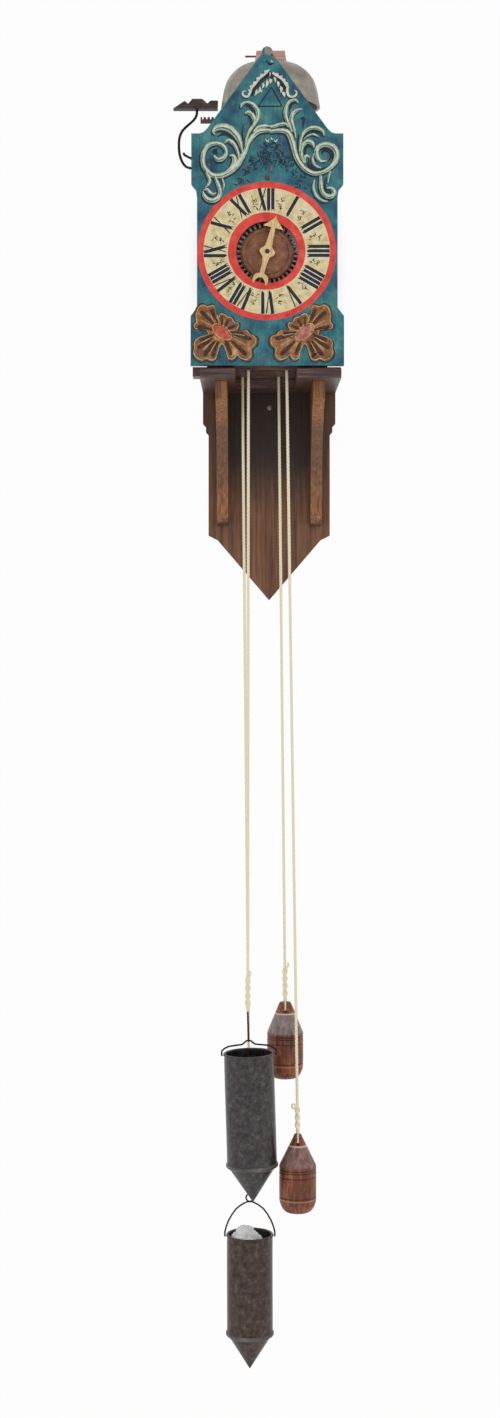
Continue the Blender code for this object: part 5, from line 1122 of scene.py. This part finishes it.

# %% [markdown]
# ## Turned counterweights
# Each counterweight is a wooden bottle off the lathe: a round foot, a straight body with cut lines, and a conical top.
# The top is drilled across for its rope. The cone is greyed, partly by wear and partly as a painted reflection, and a
# pale line shows where a cord once sat.

# %% A finish that follows the turning
CONE_WEAR_AND_SHEEN, PALE_CORD, FOOT_LINE = (0.0150, 0.0400), (0.0142, 0.0156), (0.0812, 0.0826)
CUT_LINES = [0.0440, 0.0470, 0.0535, 0.0790]
CUT_HALF = 0.0006


def weight_skin(name, top, wear_and_sheen_share):
    """Turned wood whose tint follows the depth d below the top: grey cone (wear and painted sheen), pale line, dark cut
    lines.
    """
    made = Finish(name, 0.36)
    _, _, z = made.parts_of(made.place)
    d = made.minus(top, z)
    streaks = made.noise((0.004, 0.004, 0.03), detail=5.0, twist=0.8)
    blotches = made.noise(0.012, detail=5.0, rough=0.6)
    tone = made.ramp(streaks, (0.26, srgb(62, 28, 17)), (0.50, srgb(126, 66, 38)), (0.76, srgb(196, 118, 66)))
    tone = made.tint(tone, made.between(blotches, 0.50, 0.70), 0.55, srgb(52, 34, 36))

    def band(low, high, soft=0.0006):
        return made.times(made.between(d, low - soft, low + soft), made.between(d, high + soft, high - soft))

    # Worn grey and a painted sheen on the cone.
    cone = made.times(band(*CONE_WEAR_AND_SHEEN, 0.0015), made.plus(wear_and_sheen_share, made.times(blotches, 0.3)))
    tone = made.mix(cone, tone, made.ramp(streaks, (0.3, srgb(112, 100, 100)), (0.7, srgb(172, 160, 158))))
    tone = made.mix(band(*PALE_CORD), tone, srgb(226, 208, 196))
    tone = made.tint(tone, band(*FOOT_LINE), 0.7, srgb(206, 140, 100))
    for cut_at in CUT_LINES:
        tone = made.tint(tone, band(cut_at - CUT_HALF, cut_at + CUT_HALF), 0.8, srgb(34, 18, 16))
    made.colour(tone)
    made.bump(made.plus(streaks, blotches), 0.00025)
    return made.material


# %% The two counterweights
COUNTER_R, COUNTER_SHOULDER = 0.0235, 0.040
HOLE_DOWN, HOLE_R = 0.0105, 0.0024


def counter_profile(neck):
    """Radius and height from the top: a cap, a straight cone, the body with its cut lines, and a round foot."""
    share = np.linspace(0.02, 0.97, 26)
    cone = np.stack([neck + (COUNTER_R - neck) * share, -0.003 - (COUNTER_SHOULDER - 0.003) * share], -1)
    cap = curve_through([(0.0, 0.0), (0.62 * neck, -0.0002), (0.90 * neck, -0.0014), tuple(cone[0])], 14)
    depth = np.linspace(COUNTER_SHOULDER + 0.0012, 0.083, 90)
    cuts = 0.0011 * np.exp(-((depth[:, None] - np.array(CUT_LINES)) / CUT_HALF) ** 2).sum(1)
    body = np.stack([COUNTER_R - cuts, -depth], -1)
    foot = curve_through([(0.0234, -0.084), (0.0219, -0.0895), (0.0190, -0.0950), (0.0150, -0.0985), (0.0090, -0.0998),
                          (0.0, -0.1000)], 24)
    return np.concatenate([cap[:-1], cone, body, foot])


def drilled(made, x, y, z, radius):
    """Cuts a round hole along Y through a piece, as a drill would."""
    bit = tube("drill_bit", [(x, y - 0.04, z), (x, y + 0.04, z)], radius, 24, side=(0, 0, 1), step=0.02)
    hole = made.modifiers.new("hole", "BOOLEAN")
    hole.object, hole.operation, hole.solver = bit, "DIFFERENCE", "EXACT"
    cut = bpy.data.meshes.new_from_object(made.evaluated_get(bpy.context.evaluated_depsgraph_get()))
    made.modifiers.clear()
    made.data = cut
    bpy.data.objects.remove(bit)
    return made


# The last value is how strongly the cone's worn grey and painted sheen show.
for name, x, y, top, neck, grey in (("front", 0.0350, -0.170, -0.8471, 0.0052, 0.25),
                                    ("rear", 0.0203, -0.092, -0.6932, 0.0082, 0.65)):
    made = turned(f"{name}_turned_weight", counter_profile(neck), (x, y, top), 72, 0.0, 0.003, closed=False)
    drilled(made, x, y, top - HOLE_DOWN, HOLE_R)
    skin = weight_skin(f"{name}_weight_wood", top, grey)
    finished(made, skin, f"counterweight_{name}_body", [f"counterweight_{name}"])
    print(name, "counterweight faces:", len(made.data.polygons))

# %% Chalk lumps in the rear tin
LUMPS = np.array([(-8, -4, 2, 11), (2, -6, -3, 10), (9, -3, -7, 8), (-16, -2, -5, 9), (-4, 8, -1, 10),
                  (-12, -13, -6, 9), (0, -15, -9, 9), (-17, 9, -9, 8), (6, 6, -8, 8), (-2, 1, 3, 8)]) * MM
RIM_X, RIM_Y, RIM_Z = REAR_TIN
FILL_R, FILL_LOWEST = 0.0280, -0.024
fill_low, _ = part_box("shot_fill")
q, a = round_grid(56, 110)
east, north = FILL_R * q * np.cos(a), FILL_R * q * np.sin(a)
away = (east[..., None] - LUMPS[:, 0]) ** 2 + (north[..., None] - LUMPS[:, 1]) ** 2
caps = LUMPS[:, 2] + np.sqrt(np.clip(LUMPS[:, 3] ** 2 - away, 0, None))
height = np.maximum(np.where(caps > LUMPS[:, 2] + 1e-9, caps, -0.03).max(-1), FILL_LOWEST)
height = height + 0.0007 * np.abs(np.sin(700 * east + 3)) * np.sin(900 * north) + 0.0005 * np.sin(1500 * (east + north))
surface = np.stack([RIM_X + east, RIM_Y + north, RIM_Z + height], -1)
lumps = closed_dome("chalk_lumps", surface, 2, fill_low[2])
finished(lumps, chalk, "canister_rear_body", ["shot_fill"])
print("lumps:", len(LUMPS))

# %% [markdown]
# ## The hand and the hour disc
# The hand is carved boxwood with a ridge along its middle, so each half catches the light on its own.
# It is a roof-shaped profile carried along the hand's own axis; the arrow head and the crescent are lofts of their own.

# %% Roof profiles carried along the hand
HAND_TURN = math.radians(14)
HAND_X, HAND_Z = -0.004, 0.2641
_, hand_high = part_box("hand")
ROOF_ACROSS = np.array([-1.0, -0.97, -0.5, 0.0, 0.5, 0.97, 1.0, 0.97, 0.0, -0.97])


def hand_place(across, along_hand, height):
    """A point on the hand: across and along its axis in metres, and height above its back."""
    east = across * math.cos(HAND_TURN) + along_hand * math.sin(HAND_TURN)
    north = along_hand * math.cos(HAND_TURN) - across * math.sin(HAND_TURN)
    return np.stack([HAND_X + east, hand_high[1] - height + 0 * east, HAND_Z + north], -1)


def roof(stations, count, sweep=0.0):
    """Stations of (place, half width, edge height, ridge height); sweep draws the edges back, as on an arrow head."""
    p, w, e, h = curve_values(stations, count)
    v = ROOF_ACROSS
    rise = np.array([0.35, 1, 1, 1, 1, 1, 0.35, 0, 0, 0])
    top = np.array([0, 0, 0.5, 1, 0.5, 0, 0, 0, 0, 0])
    height = (e[:, None] + (h - e)[:, None] * top) * rise
    return hand_place(w[:, None] * v, p[:, None] - sweep * np.abs(v), height)


def curve_values(stations, count):
    """Straight lines between the stations' values, at even steps."""
    table = np.asarray(stations, float)
    t = np.linspace(0, len(table) - 1, count)
    return [np.interp(t, np.arange(len(table)), column) for column in table.T]


def roof_object(name, *lofts):
    """One object from closed lofts of ten points a row, with a flat face at both ends of each."""
    rows = [loft.reshape(-1, 3) for loft in lofts]
    faces, first = [], 0
    for row in rows:
        ring, last = np.arange(10), first + len(row) - 10
        faces += (grid_faces(len(row) // 10, 10, closed_columns=True) + first).tolist()
        faces += [(first + ring).tolist(), (last + ring[::-1]).tolist()]
        first += len(row)
    return welded(mesh_object(name, np.concatenate(rows), faces, smooth=False))


T = 0.0035  # height of the ridge
stem = roof([(-0.0310, 0.0026, 0.0012, T), (-0.0160, 0.0031, 0.0012, T), (-0.0070, 0.0043, 0.0016, T),
             (-0.0022, 0.0094, 0.0020, T + 0.0006), (0.0, 0.0100, 0.0024, T + 0.0012),
             (0.0022, 0.0092, 0.0020, T + 0.0006), (0.0070, 0.0044, 0.0016, T), (0.0160, 0.0036, 0.0012, T),
             (0.0345, 0.0024, 0.0012, T)], 49)
head = roof([(0.0350, 0.0132, 0.0008, T), (0.0400, 0.0082, 0.0008, T), (0.0480, 0.0003, 0.0006, 0.0012)], 13, 0.0042)
horns = []
for side in (-1, 1):
    a = np.linspace(0.0, 0.62 * np.pi, 15)
    out = side * 0.0082 * np.sin(a)
    down = -0.0385 + 0.0085 * np.cos(a)
    wide = np.interp(a, [0, a[-1] * 0.5, a[-1]], [0.0030, 0.0028, 0.0007])
    top = np.array([0.4, 1, 2, 3, 2, 1, 0.4, 0, 0, 0]) * T / 3
    normal = np.stack([side * np.sin(a), np.cos(a)], -1)
    across_horn = out[:, None] + wide[:, None] * ROOF_ACROSS * normal[:, :1]
    along_horn = down[:, None] + wide[:, None] * ROOF_ACROSS * normal[:, 1:]
    height = top * np.interp(a, [0, a[-1]], [1.0, 0.7])[:, None]
    horns.append(hand_place(across_horn, along_horn, height))
hand = roof_object("carved_hand", stem, head, *horns)
finished(hand, boxwood, "hour", ["hand"])
print("hand reaches", [round(float(x), 4) for x in hand.dimensions])

# %% The turned disc on the hour wheel
disc_low, disc_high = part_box("hour_disc")
DISC_R, DISC_HOLE_R, DISC_COLUMNS = 0.0332, 0.0036, 96
DISC_T = disc_high[1] - disc_low[1]
disc_line = curve_through([(DISC_HOLE_R, 1.0), (0.014, 1.0), (0.0225, 0.97), (0.0262, 0.86), (0.0270, 0.62),
                           (0.0282, 0.60), (0.0308, 0.58), (0.0326, 0.40), (DISC_R, 0.12)], 60) * [1, DISC_T]
disc_line = np.concatenate([disc_line, [(DISC_R, 0.0), (DISC_HOLE_R, 0.0)]])
r, h = disc_line.T
a = round_angles(DISC_COLUMNS)
face_points = np.stack([HAND_X + r[:, None] * np.cos(a), np.broadcast_to(disc_high[1] - h[:, None], (len(r), len(a))),
                        HAND_Z + r[:, None] * np.sin(a)], -1)
disc_faces = grid_faces(len(r), len(a), closed_rows=True, closed_columns=True)
disc = welded(mesh_object("turned_hour_disc", face_points, disc_faces))
disc_skin = Finish("hour_disc_skin", 0.42)
patches = disc_skin.noise(0.016, detail=6.0, rough=0.62)
grain = disc_skin.noise((0.02, 0.002, 0.0014), detail=4.0, twist=0.6)
tone = disc_skin.ramp(patches, (0.26, srgb(84, 50, 32)), (0.48, srgb(138, 86, 56)), (0.72, srgb(184, 126, 84)))
disc_skin.colour(disc_skin.tint(tone, disc_skin.between(grain, 0.5, 0.75), 0.45, srgb(54, 32, 28)))
disc_skin.bump(grain, 0.0002)
finished(disc, disc_skin.material, "hour", ["hour_disc"])
print("hour disc thickness", round(DISC_T, 4))
